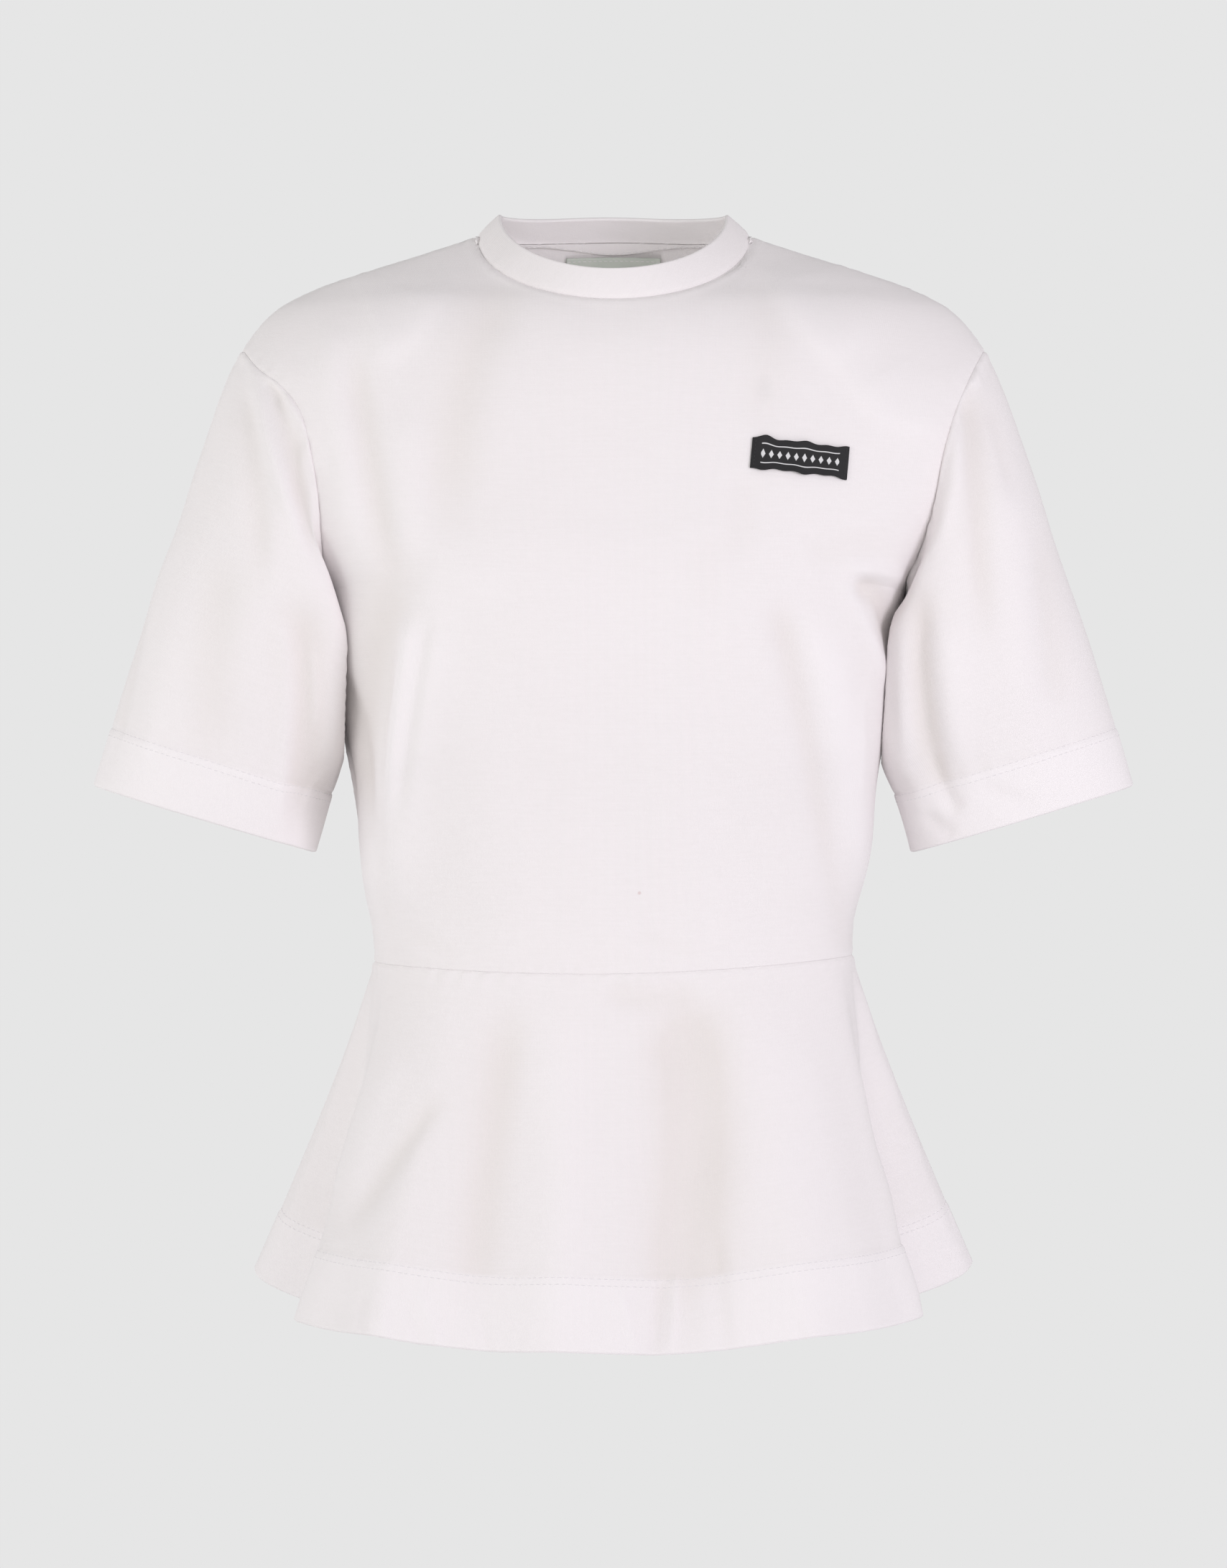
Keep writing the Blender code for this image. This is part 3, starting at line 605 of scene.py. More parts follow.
def peplum_form(waist, at, half, flutes_right, flutes_left, down):
    """Peplum points; at is the position along the waist's points, half the index of the centre."""
    seam = np.stack([np.interp(at, np.arange(len(waist)), waist[:, i]) for i in range(3)], -1)
    share = share_of_half(waist, at, half)
    left = at > half
    across, out = (
        np.where(left, column(flutes_left, "share", name, share), column(flutes_right, "share", name, share))
        for name in ("across", "out")
    )
    across = np.where(left, across, -across)
    length = PEPLUM_FRONT_LENGTH + (PEPLUM_SIDE_LENGTH - PEPLUM_FRONT_LENGTH) * share**4
    run = np.hypot(across - seam[:, 0], out - seam[:, 1])
    hem = np.stack([across, out, seam[:, 2] - np.sqrt(length**2 - run**2)], -1)
    down = down[..., None]
    spread = down**1.12
    flat = seam[:, :2] * (1 - spread) + hem[:, :2] * spread
    return np.concatenate([flat, seam[:, 2:] * (1 - down) + hem[:, 2:] * down], -1)


def share_of_half(waist, at, half):
    """Share of the solid's own even columns, which are 7 to the neck corner and 11 beyond it."""
    run = lengths(waist[None], 1)[0]
    neck = half_share_at_neck
    centre, end = run[half], run[-1]
    here = np.abs(np.interp(at, np.arange(len(waist)), run) - centre)
    total = np.where(at > half, end - centre, centre)
    share = here / total
    return np.where(share < neck, share / neck * 7 / 18, 7 / 18 + (share - neck) / (1 - neck) * 11 / 18)


# Shells


def grid_normals(grid, wrap):
    if wrap:
        across = np.roll(grid, -1, axis=1) - np.roll(grid, 1, axis=1)
    else:
        across = np.gradient(grid, axis=1)
    return unit(np.cross(across, np.gradient(grid, axis=0)))


def bodice_normal(grid, front):
    """Outward normals read off the bodice's form, for points away from its sides."""
    across, height = grid[..., 0], grid[..., 2]
    span = 0.0008
    right, left = (bodice_surface(across + s * span, height, front) for s in (-1, 1))
    lower, upper = (bodice_surface(across, height + s * span, front) for s in (-1, 1))
    facing = unit(np.cross(left - right, upper - lower))
    return facing if front else -facing


def bodice_cloth_place(grid):
    """Place on the flat bodice: round the body from the centre line, and up the cloth from the waist."""
    across, height = grid[..., 0], grid[..., 2]
    share = np.linspace(0, 1, 400)
    round_run = lengths(np.stack([share, 0.65 * np.sqrt(1 - share**2)], -1)[None], 1)[0]
    half = column(SECTIONS, "height", "half_width", height)
    u = np.sign(across) * half * np.interp(np.abs(across) / half, share, round_run)
    level = np.linspace(SECTIONS[-1].height, SECTIONS[0].height, 400)
    rise_run = lengths(np.stack([level, column(SECTIONS, "height", "front", level)], -1)[None], 1)[0]
    return np.stack([u, np.interp(height, level, rise_run)], -1)


def share_borders(grids, normals):
    """Gives pieces that meet at a seam the same normal there."""
    found = {}
    for name, grid in grids.items():
        rim = np.zeros(grid.shape[:2], bool)
        rim[[0, -1]] = True
        rim[:, [0, -1]] = True
        for i, j in zip(*np.nonzero(rim)):
            groups = found.setdefault(tuple(np.round(grid[i, j], 6)), {})
            groups.setdefault(name.split("_")[-1], []).append((name, i, j))
    for groups in found.values():
        owners = [owner for group in groups.values() for owner in group]
        if len(owners) < 2:
            continue
        total = sum(unit(sum(normals[n][i, j] for n, i, j in group)) for group in groups.values())
        for name, i, j in owners:
            normals[name][i, j] = unit(total)


def rounded_edge(off, thickness):
    """How far both faces draw in towards the middle of the cloth near a turned edge."""
    half = thickness / 2
    near = np.clip(1 - off / half, 0, 1)
    return half * (1 - np.sqrt(1 - near**2))


def make_shell(name, outer, inner, wrap, uv, tone=None):
    """A closed mesh from two faces of one grid. Tone is painted light for the cloth colour: painted shade in
    folds (-), painted highlight on ridges and hem bands (+).
    """
    rows, columns = outer.shape[:2]
    points = np.concatenate([outer.reshape(-1, 3), inner.reshape(-1, 3)])
    back = rows * columns
    last = columns if wrap else columns - 1
    i, j = np.meshgrid(np.arange(rows - 1), np.arange(last), indexing="ij")
    k = (j + 1) % columns
    low, high = i * columns, (i + 1) * columns
    quads = np.stack([low + j, low + k, high + k, high + j], -1).reshape(-1, 4)
    rims = [[(0, n) for n in range(columns)], [(rows - 1, n) for n in range(columns)][::-1]]
    if wrap:
        rims = [rim + rim[:1] for rim in rims]
    else:
        rims = [
            [(0, n) for n in range(columns)]
            + [(m, columns - 1) for m in range(1, rows)]
            + [(rows - 1, n) for n in range(columns - 2, -1, -1)]
            + [(m, 0) for m in range(rows - 2, -1, -1)]
        ]
    edge = []
    for rim in rims:
        for (a, b), (c, d) in zip(rim, rim[1:]):
            p, q = a * columns + b, c * columns + d
            edge.append([q, p, back + p, back + q])
    faces = np.concatenate([quads, back + quads[:, ::-1], np.array(edge)])
    mesh = bpy.data.meshes.new(name)
    mesh.from_pydata(points.tolist(), [], faces.tolist())
    mesh.update()
    layer = mesh.uv_layers.new(name="cloth")
    flat = np.concatenate([uv.reshape(-1, 2)] * 2)
    index = np.zeros(len(mesh.loops), np.int32)
    mesh.loops.foreach_get("vertex_index", index)
    layer.data.foreach_set("uv", flat[index].astype(np.float32).ravel())
    # point attribute that carries painted shade (-) and painted highlight (+) into the cloth colour
    full = np.zeros(rows * columns) if tone is None else np.clip(tone, -1, 1).ravel()
    mesh.attributes.new("painted_shade_and_highlight", "FLOAT", "POINT").data.foreach_set(
        "value", np.concatenate([full] * 2).astype(np.float32)
    )
    mesh.shade_smooth()
    piece = bpy.data.objects.new(name, mesh)
    bpy.context.collection.objects.link(piece)
    return piece


def dress(piece, material, slot, *nodes):
    piece.data.materials.append(material)
    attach(piece, "root")
    if nodes:
        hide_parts(*nodes)
    return piece


def stitches(name, lines, material, slot, length=0.0026, gap=0.0010, radius=0.00024, sink=0.00008):
    """Rows of single stitches along lines of (points, normals): small sausages that dip at both ends."""
    ring = 6
    profile = [(-0.5, 0.25), (-0.34, 0.85), (0.0, 1.0), (0.34, 0.85), (0.5, 0.25)]
    points, faces = [], []
    turn = np.arange(ring) * 2 * np.pi / ring
    for path, normals in lines:
        run = lengths(path[None], 1)[0]
        count = int(run[-1] // (length + gap))
        for n in range(count):
            at = (n + 0.5) * run[-1] / count
            ends = [at + s * length for s, _ in profile]
            centre = np.stack([np.interp(ends, run, path[:, c]) for c in range(3)], -1)
            up = unit(np.array([np.interp(at, run, normals[:, c]) for c in range(3)]))
            ahead = unit(centre[-1] - centre[0])
            side = unit(np.cross(ahead, up))
            start = len(points)
            for p, (s, size) in zip(centre, profile):
                lift = p + up * (radius * (0.9 * size - 0.35) - sink)
                for a in turn:
                    points.append(lift + radius * size * (np.cos(a) * side + 0.8 * np.sin(a) * up))
            for m in range(len(profile) - 1):
                for k in range(ring):
                    a, b = start + m * ring + k, start + m * ring + (k + 1) % ring
                    faces.append([a, b, b + ring, a + ring])
            faces.append([start + k for k in range(ring)][::-1])
            faces.append([start + (len(profile) - 1) * ring + k for k in range(ring)])
    mesh = bpy.data.meshes.new(name)
    mesh.from_pydata([tuple(p) for p in points], [], faces)
    mesh.update()
    mesh.shade_smooth()
    piece = bpy.data.objects.new(name, mesh)
    bpy.context.collection.objects.link(piece)
    return dress(piece, material, slot)


# Finishes


class Value:
    """A shader socket that ordinary arithmetic works on."""

    def __init__(self, finish, socket):
        self.finish, self.socket = finish, socket

    def _math(self, operation, *others):
        return self.finish.node("ShaderNodeMath", {"operation": operation}, [self, *others])

    def __add__(self, other):
        return self._math("ADD", other)

    __radd__ = __add__

    def __sub__(self, other):
        return self._math("SUBTRACT", other)

    def __rsub__(self, other):
        return self.finish.node("ShaderNodeMath", {"operation": "SUBTRACT"}, [other, self])

    def __mul__(self, other):
        return self._math("MULTIPLY", other)

    __rmul__ = __mul__

    def __truediv__(self, other):
        return self._math("DIVIDE", other)

    def sine(self):
        return self._math("SINE")

    def size(self):
        return self._math("ABSOLUTE")

    def fraction(self):
        return self._math("FRACT")

    def at_least(self, other):
        return self._math("MAXIMUM", other)

    def over(self, low, high):
        """0 below low, 1 above high, with a soft ramp between."""
        settings = {"interpolation_type": "SMOOTHSTEP"}
        return self.finish.node("ShaderNodeMapRange", settings, {0: self, 1: low, 2: high})


class Nodes:
    """Short ways to make the nodes of a tree."""

    def __init__(self, tree):
        self.tree = tree

    def node(self, kind, settings=None, inputs=None, output=0):
        made = self.tree.nodes.new(kind)
        for key, value in (settings or {}).items():
            setattr(made, key, value)
        pairs = inputs.items() if isinstance(inputs, dict) else enumerate(inputs or [])
        for key, value in pairs:
            if isinstance(value, Value):
                self.tree.links.new(value.socket, made.inputs[key])
            else:
                made.inputs[key].default_value = value
        return Value(self, made.outputs[output])

    def parts(self, vector):
        return [self.node("ShaderNodeSeparateXYZ", None, [vector], n) for n in range(3)]

    def cloth_place(self):
        """Place on the flat cloth, in metres."""
        return self.node("ShaderNodeUVMap", {"uv_map": "cloth"})

    def place(self):
        return self.node("ShaderNodeTexCoord", None, None, 3)

    def noise(self, place, scale, detail=2.0, roughness=0.5):
        inputs = {"Vector": place, "Scale": scale, "Detail": detail, "Roughness": roughness}
        return self.node("ShaderNodeTexNoise", None, inputs)

    def distance(self, place, centre):
        return self.node("ShaderNodeVectorMath", {"operation": "DISTANCE"}, [place, centre], 1)

    def mix(self, share, first, second):
        """A colour between two colours."""
        made = self.tree.nodes.new("ShaderNodeMix")
        made.data_type = "RGBA"
        for place, value in ((0, share), (6, first), (7, second)):
            if isinstance(value, Value):
                self.tree.links.new(value.socket, made.inputs[place])
            else:
                made.inputs[place].default_value = value
        return Value(self, made.outputs[2])


class Finish(Nodes):
    """A material with one Principled shader."""

    def __init__(self, name, **constants):
        self.material = bpy.data.materials.new(name)
        self.material.use_nodes = True
        super().__init__(self.material.node_tree)
        self.shader = self.tree.nodes["Principled BSDF"]
        for socket, value in constants.items():
            self.shader.inputs[socket.replace("_", " ")].default_value = value

    def feed(self, socket, value):
        self.tree.links.new(value.socket, self.shader.inputs[socket])

    def relief(self, height, distance, strength=1.0):
        inputs = {"Strength": strength, "Distance": distance, "Height": height}
        self.feed("Normal", self.node("ShaderNodeBump", None, inputs))


def jersey_finish(name, marks=()):
    """Heavy cotton jersey: fine columns of knit stitches, slubs, a soft fuzz and faint marks, with painted
    shade in folds and painted highlight on ridges and hem bands.
    """
    wale, course = 0.00085, 0.00070
    f = Finish(name, Roughness=0.92, Sheen_Weight=0.10, Sheen_Roughness=0.5, Specular_IOR_Level=0.2)
    cloth = f.cloth_place()
    u, v, _ = f.parts(cloth)
    column_place = (u / wale).fraction() - 0.5
    ribs = 1.0 - (column_place.size() * 2.0)
    loops = ((v / course + column_place.size() * 1.3) * (2 * np.pi)).sine() * 0.5 + 0.5
    slub = f.noise(f.place(), 900.0, 2.0, 0.6)
    stretched = f.node("ShaderNodeVectorMath", {"operation": "MULTIPLY"}, [cloth, (60, 700, 1)])
    streak = f.noise(stretched, 1.0, 3.0)
    cloud = f.noise(f.place(), 14.0, 3.0, 0.5)
    f.relief(ribs * 0.5 + loops * 0.35 + slub * 0.9 + streak * 0.6, 0.00016, 0.55)
    colour = f.mix(cloud.over(0.25, 0.75) * 0.25, WHITE, WHITE_AGED)
    colour = f.mix(streak.over(0.30, 0.70) * 0.30, colour, WHITE_STREAK_AND_PAINTED_HIGHLIGHT)
    colour = f.mix(slub.over(0.25, 0.75) * 0.20, colour, WHITE_AGED)
    # painted shade: a darker, warmer white in crease troughs; painted highlight: a lighter white on crease
    # ridges and hem bands
    full = f.node("ShaderNodeAttribute", {"attribute_name": "painted_shade_and_highlight"}, None, 2)
    colour = f.mix((0.0 - full).at_least(0.0) * PAINTED_FOLD_SHADE_SHARE, colour, WHITE_PAINTED_FOLD_SHADE)
    colour = f.mix(full.at_least(0.0) * 0.95, colour, WHITE_STREAK_AND_PAINTED_HIGHLIGHT)
    for centre, reach, soft, strength, mark in marks:
        spot = 1.0 - f.distance(f.place(), centre).over(reach * (1 - soft), reach)
        colour = f.mix(spot * strength, colour, mark)
    f.feed("Base Color", colour)
    f.feed("Roughness", 0.88 + slub * 0.08)
    return f.material


def thread_finish(name, tone):
    f = Finish(name, Roughness=0.7, Sheen_Weight=0.1)
    twist = f.noise(f.place(), 2600.0, 1.0)
    r, g, b = tone
    f.feed("Base Color", f.mix(twist, (r * 0.93, g * 0.93, b * 0.93, 1), (r, g, b, 1)))
    f.relief(twist, 0.00008, 0.4)
    return f.material


def woven_label_finish(name):
    """Black damask label with a plain row of small white lozenges between two white lines."""
    f = Finish(name, Roughness=0.55, Specular_IOR_Level=0.35)
    u, v, _ = f.parts(f.cloth_place())
    weft = ((v / 0.00022) * (2 * np.pi)).sine() * 0.5 + 0.5
    warp = ((u / 0.00030 + v / 0.00044) * (2 * np.pi)).sine() * 0.5 + 0.5
    f.relief(weft * 0.6 + warp * 0.4, 0.00009, 0.6)
    pitch = 0.0046
    along = ((u / pitch).fraction() - 0.5).size() * pitch
    off = v.size()
    lozenge = 1.0 - (along * 1.0 + off * 0.62).over(0.00120, 0.00150)
    inside = 1.0 - u.size().over(0.0216, 0.0219)
    rule = 1.0 - (off - 0.0046).size().over(0.00018, 0.00034)
    white = (lozenge * inside).at_least(rule * inside)
    black = f.mix(weft, (0.010, 0.010, 0.011, 1), (0.020, 0.019, 0.020, 1))
    f.feed("Base Color", f.mix(white, black, (0.72, 0.72, 0.72, 1)))
    f.feed("Roughness", 0.5 + weft * 0.2)
    return f.material


def satin_finish(name):
    """The blank neck label: fine satin, pale grey green."""
    f = Finish(name, Roughness=0.45, Sheen_Weight=0.1)
    u, v, _ = f.parts(f.cloth_place())
    warp = ((u / 0.00025) * (2 * np.pi)).sine() * 0.5 + 0.5
    cloud = f.noise(f.place(), 120.0, 2.0)
    f.relief(warp, 0.00005, 0.5)
    f.feed("Base Color", f.mix(cloud, (0.56, 0.60, 0.54, 1), (0.64, 0.67, 0.61, 1)))
    f.feed("Roughness", 0.42 + warp * 0.08)
    return f.material


WHITE = (0.872, 0.833, 0.832, 1)
WHITE_AGED = (0.850, 0.812, 0.806, 1)
# a lighter white for slub streaks and for the painted highlight on ridges and hem bands; then the painted
# shade colour of crease troughs and how much of it they take
WHITE_STREAK_AND_PAINTED_HIGHLIGHT = (0.905, 0.868, 0.872, 1)
WHITE_PAINTED_FOLD_SHADE = (0.760, 0.705, 0.665, 1)
PAINTED_FOLD_SHADE_SHARE = 0.45
REDDISH = (0.55, 0.32, 0.30, 1)
GREYISH = (0.66, 0.64, 0.63, 1)
FRONT_MARKS = [
    ((0.0143, -0.098, -0.3732), 0.0013, 0.6, 0.35, REDDISH),
    ((0.0715, -0.092, -0.3744), 0.0010, 0.6, 0.22, REDDISH),
    ((0.0830, -0.092, -0.0960), 0.0090, 0.95, 0.16, GREYISH),
    ((0.0835, -0.092, -0.0900), 0.0070, 0.95, 0.12, GREYISH),
]
PEPLUM_MARKS = [((0.1280, -0.118, -0.5380), 0.0062, 0.35, 0.10, GREYISH)]

jersey = jersey_finish("white_jersey")
front_jersey = jersey_finish("white_jersey_front", FRONT_MARKS)
peplum_jersey = jersey_finish("white_jersey_peplum", PEPLUM_MARKS)
white_thread = thread_finish("white_thread", (0.86, 0.83, 0.84))
black_thread = thread_finish("black_thread", (0.02, 0.02, 0.02))
black_woven = woven_label_finish("black_woven")
pale_satin = satin_finish("pale_satin")

# Cutting and sewing

SIDE_LENGTH, ARMHOLE_LENGTH, HALF_GIRTH = 0.207, 0.155, 0.16
COUNTS = (
    shares(34),
    shares(56, fine_end=HALF_GIRTH),
    shares(72, fine_start=SIDE_LENGTH),
    shares(84, fine_end=ARMHOLE_LENGTH),
)
UNDERARM_ROW = len(COUNTS[2]) - 1
HALF_COLUMNS = len(COUNTS[0]) + len(COUNTS[1]) - 2
NECK_INDEX = len(COUNTS[0]) - 1

front = bodice_panel(True, COUNTS)
back = bodice_panel(False, COUNTS)
waist_run = lengths(front[None, 0], 1)[0]
half_share_at_neck = (waist_run[HALF_COLUMNS + NECK_INDEX] - waist_run[HALF_COLUMNS]) / (
    waist_run[-1] - waist_run[HALF_COLUMNS]
)

SLEEVE_HEM = 0.0350
PEPLUM_HEM = 0.0420
HEM_FOLD = 0.0011
HEM_STEP = 0.0006
SEAM_DEPTH = 0.00025
NECK_SEAM_DEPTH = 0.0005
UNEVENNESS = 0.00055
LOOSE_UNEVENNESS = 0.0006
# crease rise that takes the whole painted shade or painted highlight, and the painted highlight across hem
# bands
PAINTED_TONE_RISE = 0.0045
HEM_PAINTED_HIGHLIGHT = 0.8
CUT_FINE = np.array([0.0, 0.0004, 0.0009, 0.0016, 0.0026])


def sleeve_grid(side):
    """A sleeve whose rows run parallel to the cuff within the hem."""
    loop = armhole_loop(front, back, side, UNDERARM_ROW)
    straight = sleeve_form(loop, side, np.array([[0.0], [1.0]]) * np.ones(len(loop)))
    length = np.linalg.norm(straight[1] - straight[0], axis=-1) * 1.02
    body = shares(64, fine_start=0.15)
    hem = np.sort(np.concatenate([np.linspace(0, 1, 19), 1 - CUT_FINE[1:4] / SLEEVE_HEM]))
    hem_share = SLEEVE_HEM / length
    down = np.concatenate([body[:-1, None] * (1 - hem_share), 1 - hem_share + hem[:, None] * hem_share])
    return sleeve_form(loop, side, down)


def peplum_grid(waist, flutes_right, flutes_left):
    at = np.arange(2 * HALF_COLUMNS + 1.0)
    share = share_of_half(waist, at, HALF_COLUMNS)
    splits = np.where(share[:-1] > 0.55, 3, 2)
    at = np.concatenate([k + np.arange(n) / n for k, n in enumerate(splits)] + [[len(at) - 1.0]])
    body = shares(46, fine_start=0.17)
    hem = np.sort(np.concatenate([np.linspace(0, 1, 17), 1 - CUT_FINE[1:4] / PEPLUM_HEM]))
    hem_share = PEPLUM_HEM / 0.207
    down = np.concatenate([body[:-1] * (1 - hem_share), 1 - hem_share + hem * hem_share])
    down = down[:, None] * np.ones(len(at))
    return peplum_form(waist, at, HALF_COLUMNS, flutes_right, flutes_left, down)


span = slice(HALF_COLUMNS - NECK_INDEX, HALF_COLUMNS + NECK_INDEX + 1)
neck_seam = np.concatenate([front[-1, span], back[-1, span][-2:0:-1]])
BAND_STEPS = np.sort(np.concatenate([shares(12, fine_start=0.018), [0.93, 0.955, 0.975, 0.99]]))
band = neck_form(neck_seam, BAND_STEPS)
front_peplum = peplum_grid(front[0], FRONT_FLUTES_RIGHT, FRONT_FLUTES_LEFT)
back_peplum = peplum_grid(back[0], BACK_FLUTES_RIGHT, BACK_FLUTES_LEFT)

grids = {
    "front_bodice": front,
    "back_bodice": back[:, ::-1],
    "left_sleeve": sleeve_grid(1),
    "right_sleeve": sleeve_grid(-1)[:, ::-1],
    "neck_band": band,
    "front_peplum": front_peplum[::-1],
    "back_peplum": back_peplum[::-1, ::-1],
}
wraps = {"left_sleeve", "right_sleeve", "neck_band"}
normals = {name: grid_normals(grid, name in wraps) for name, grid in grids.items()}
for name, is_front in (("front_bodice", True), ("back_bodice", False)):
    points = grids[name]
    share = np.abs(points[..., 0]) / column(SECTIONS, "height", "half_width", points[..., 2])
    inward = eased((0.90 - share) / 0.12)[..., None]
    normals[name] = unit(normals[name] * (1 - inward) + bodice_normal(points, is_front) * inward)
share_borders(grids, normals)


def seam_roll(off, depth, reach=0.0014):
    """The cloth turns in at a seam."""
    return -depth * np.exp(-((off / reach) ** 2))


def allowance(off, height=0.0005, width=0.0060):
    """The turned-in seam allowance, felt through the cloth as a low flat ridge beside the seam."""
    return height * eased((width - off) / 0.0018)


def finish_panel(name, own_creases, material, seed):
    grid, normal = grids[name], normals[name]
    across, height = grid[..., 0], grid[..., 2]
    middle = grid.shape[1] // 2
    edges = {
        "waist": (grid[0], SEAM_DEPTH),
        "side_1": (grid[: UNDERARM_ROW + 1, 0], SEAM_DEPTH),
        "side_2": (grid[: UNDERARM_ROW + 1, -1], SEAM_DEPTH),
        "armhole_1": (grid[UNDERARM_ROW:, 0], SEAM_DEPTH),
        "armhole_2": (grid[UNDERARM_ROW:, -1], SEAM_DEPTH),
        "shoulder_1": (grid[-1, : middle - NECK_INDEX + 1], SEAM_DEPTH),
        "shoulder_2": (grid[-1, middle + NECK_INDEX :], SEAM_DEPTH),
        "neck": (grid[-1, middle - NECK_INDEX : middle + NECK_INDEX + 1], NECK_SEAM_DEPTH),
    }
    found = {place: to_edge(grid, line) for place, (line, _) in edges.items()}
    folds = crease_rise(own_creases, across, height)
    for place in edges:
        folds = folds * eased(found[place][0] / 0.006)
    off_seams = np.min([off for off, _ in found.values()], axis=0)
    lift = folds + ripple(across, height, seed, 0.045, UNEVENNESS) * eased(off_seams / 0.012)
    free = eased(off_seams / 0.0012)
    for k, (place, (line, depth)) in enumerate(edges.items()):
        off, along = found[place]
        lift += seam_roll(off, depth) + free * pucker(along, off, seed + k, 0.006, 0.00022)
    lift += 0.0004 * np.exp(-(((found["neck"][0] - 0.0042) / 0.0022) ** 2))
    outer = grid + normal * lift[..., None]
    uv = bodice_cloth_place(grid)
    # tone: painted shade in crease troughs, painted highlight on crease ridges
    piece = make_shell(name + "_cloth", outer, outer - normal * CLOTH, False, uv, folds / PAINTED_TONE_RISE)
    dress(piece, material, "white_jersey", name)


def finish_sleeve(name, front_creases, back_creases, seed):
    mirrored = name.startswith("right")
    side = -1 if mirrored else 1
    grid, normal = grids[name], normals[name]
    count = grid.shape[1]
    around = np.arange(count) / count * np.ones((len(grid), 1))
    if mirrored:
        around = (1 - (around + 1 / count)) % 1.0
    from_seam = lengths(grid, 0)
    from_cuff = from_seam[-1:] - from_seam
    across, height = grid[..., 0], grid[..., 2]
    ahead = np.sin(2 * np.pi * around)
    folds = crease_rise(front_creases, across, height) * eased(ahead / 0.35)
    folds += crease_rise(back_creases, across, height) * eased(-ahead / 0.35)
    folds *= eased(from_seam / 0.005) * (0.55 + 0.45 * eased(from_cuff / 0.02))
    angle = 2 * np.pi * around
    wave = ripple(0.055 * np.cos(angle), height + 0.055 * np.sin(angle), seed, 0.05, LOOSE_UNEVENNESS)
    lift = folds + wave * eased(from_seam / 0.012) + seam_roll(from_seam, SEAM_DEPTH)
    lift += allowance(from_seam) * eased(from_seam / 0.0014)
    hem_line = from_cuff - SLEEVE_HEM
    lift += HEM_STEP * eased(-hem_line / 0.0025) - 0.0005 * np.exp(-((hem_line / 0.0012) ** 2))
    loop = np.arange(count) * 0.36 / count * np.ones((len(grid), 1))
    lift += eased(from_seam / 0.0015) * pucker(loop, from_seam, seed + 1, 0.008, 0.0003)
    lift += pucker(loop, np.abs(hem_line), seed + 2, 0.012, 0.00022, 0.010)
    thickness = CLOTH + HEM_FOLD * eased((-hem_line - 0.0002) / 0.0008)
    draw = rounded_edge(from_cuff, CLOTH + HEM_FOLD)
    outer = beside_bodice(grid + normal * (lift - draw)[..., None], side)
    inner = outer - normal * (thickness - 2 * draw)[..., None]
    uv = np.stack([loop, from_cuff], -1)
    # tone: painted shade in crease troughs, painted highlight on crease ridges and across the hem band
    tone = folds / PAINTED_TONE_RISE + HEM_PAINTED_HIGHLIGHT * eased(-hem_line / 0.0015)
    piece = make_shell(name + "_cloth", outer, inner, True, uv, tone)
    dress(piece, jersey, "white_jersey", name)
    return outer, normal, from_cuff


def finish_peplum(name, own_creases, material, seed):
    grid, normal = grids[name], normals[name]
    along_row, along_column = lengths(grid, 1), lengths(grid, 0)
    from_hem, from_waist = along_column, along_column[-1:] - along_column
    off_side = np.minimum(along_row, along_row[:, -1:] - along_row)
    folds = crease_rise(own_creases, grid[..., 0], grid[..., 2]) * eased(from_waist / 0.006)
    folds *= eased(off_side / 0.010)
    wave = ripple(along_row, along_column, seed, 0.05, LOOSE_UNEVENNESS)
    lift = (folds + wave * eased(from_waist / 0.02)) * eased(off_side / 0.008)
    lift += seam_roll(from_waist, 0.0003, 0.0010) + seam_roll(off_side, 0.0005)
    lift += 0.0005 * np.exp(-(((from_waist - 0.0024) / 0.0016) ** 2)) * eased(off_side / 0.004)
    hem_line = from_hem - PEPLUM_HEM
    lift += HEM_STEP * eased(-hem_line / 0.0025) - 0.0004 * np.exp(-((hem_line / 0.0012) ** 2))
    free = eased(from_waist / 0.0015) * eased(off_side / 0.002)
    lift += free * pucker(along_row, from_waist, seed + 1, 0.008, 0.00035, 0.010)
    lift += free * pucker(along_row, np.abs(hem_line), seed + 2, 0.007, 0.00014, 0.010)
    thickness = CLOTH + HEM_FOLD * eased((-hem_line - 0.0002) / 0.0008)
    draw = rounded_edge(from_hem, CLOTH + HEM_FOLD)
    outer = grid + normal * (lift - draw)[..., None]
    inner = grid + normal * (lift - thickness + draw)[..., None]
    centre = along_row[:, along_row.shape[1] // 2][:, None]
    uv = np.stack([along_row - centre, from_hem], -1)
    # tone: painted shade in crease troughs, painted highlight on crease ridges and across the hem band
    tone = folds / PAINTED_TONE_RISE + HEM_PAINTED_HIGHLIGHT * eased(-hem_line / 0.0015)
    piece = make_shell(name + "_cloth", outer, inner, False, uv, tone)
    dress(piece, material, "white_jersey", name)
    return outer, normal, from_hem


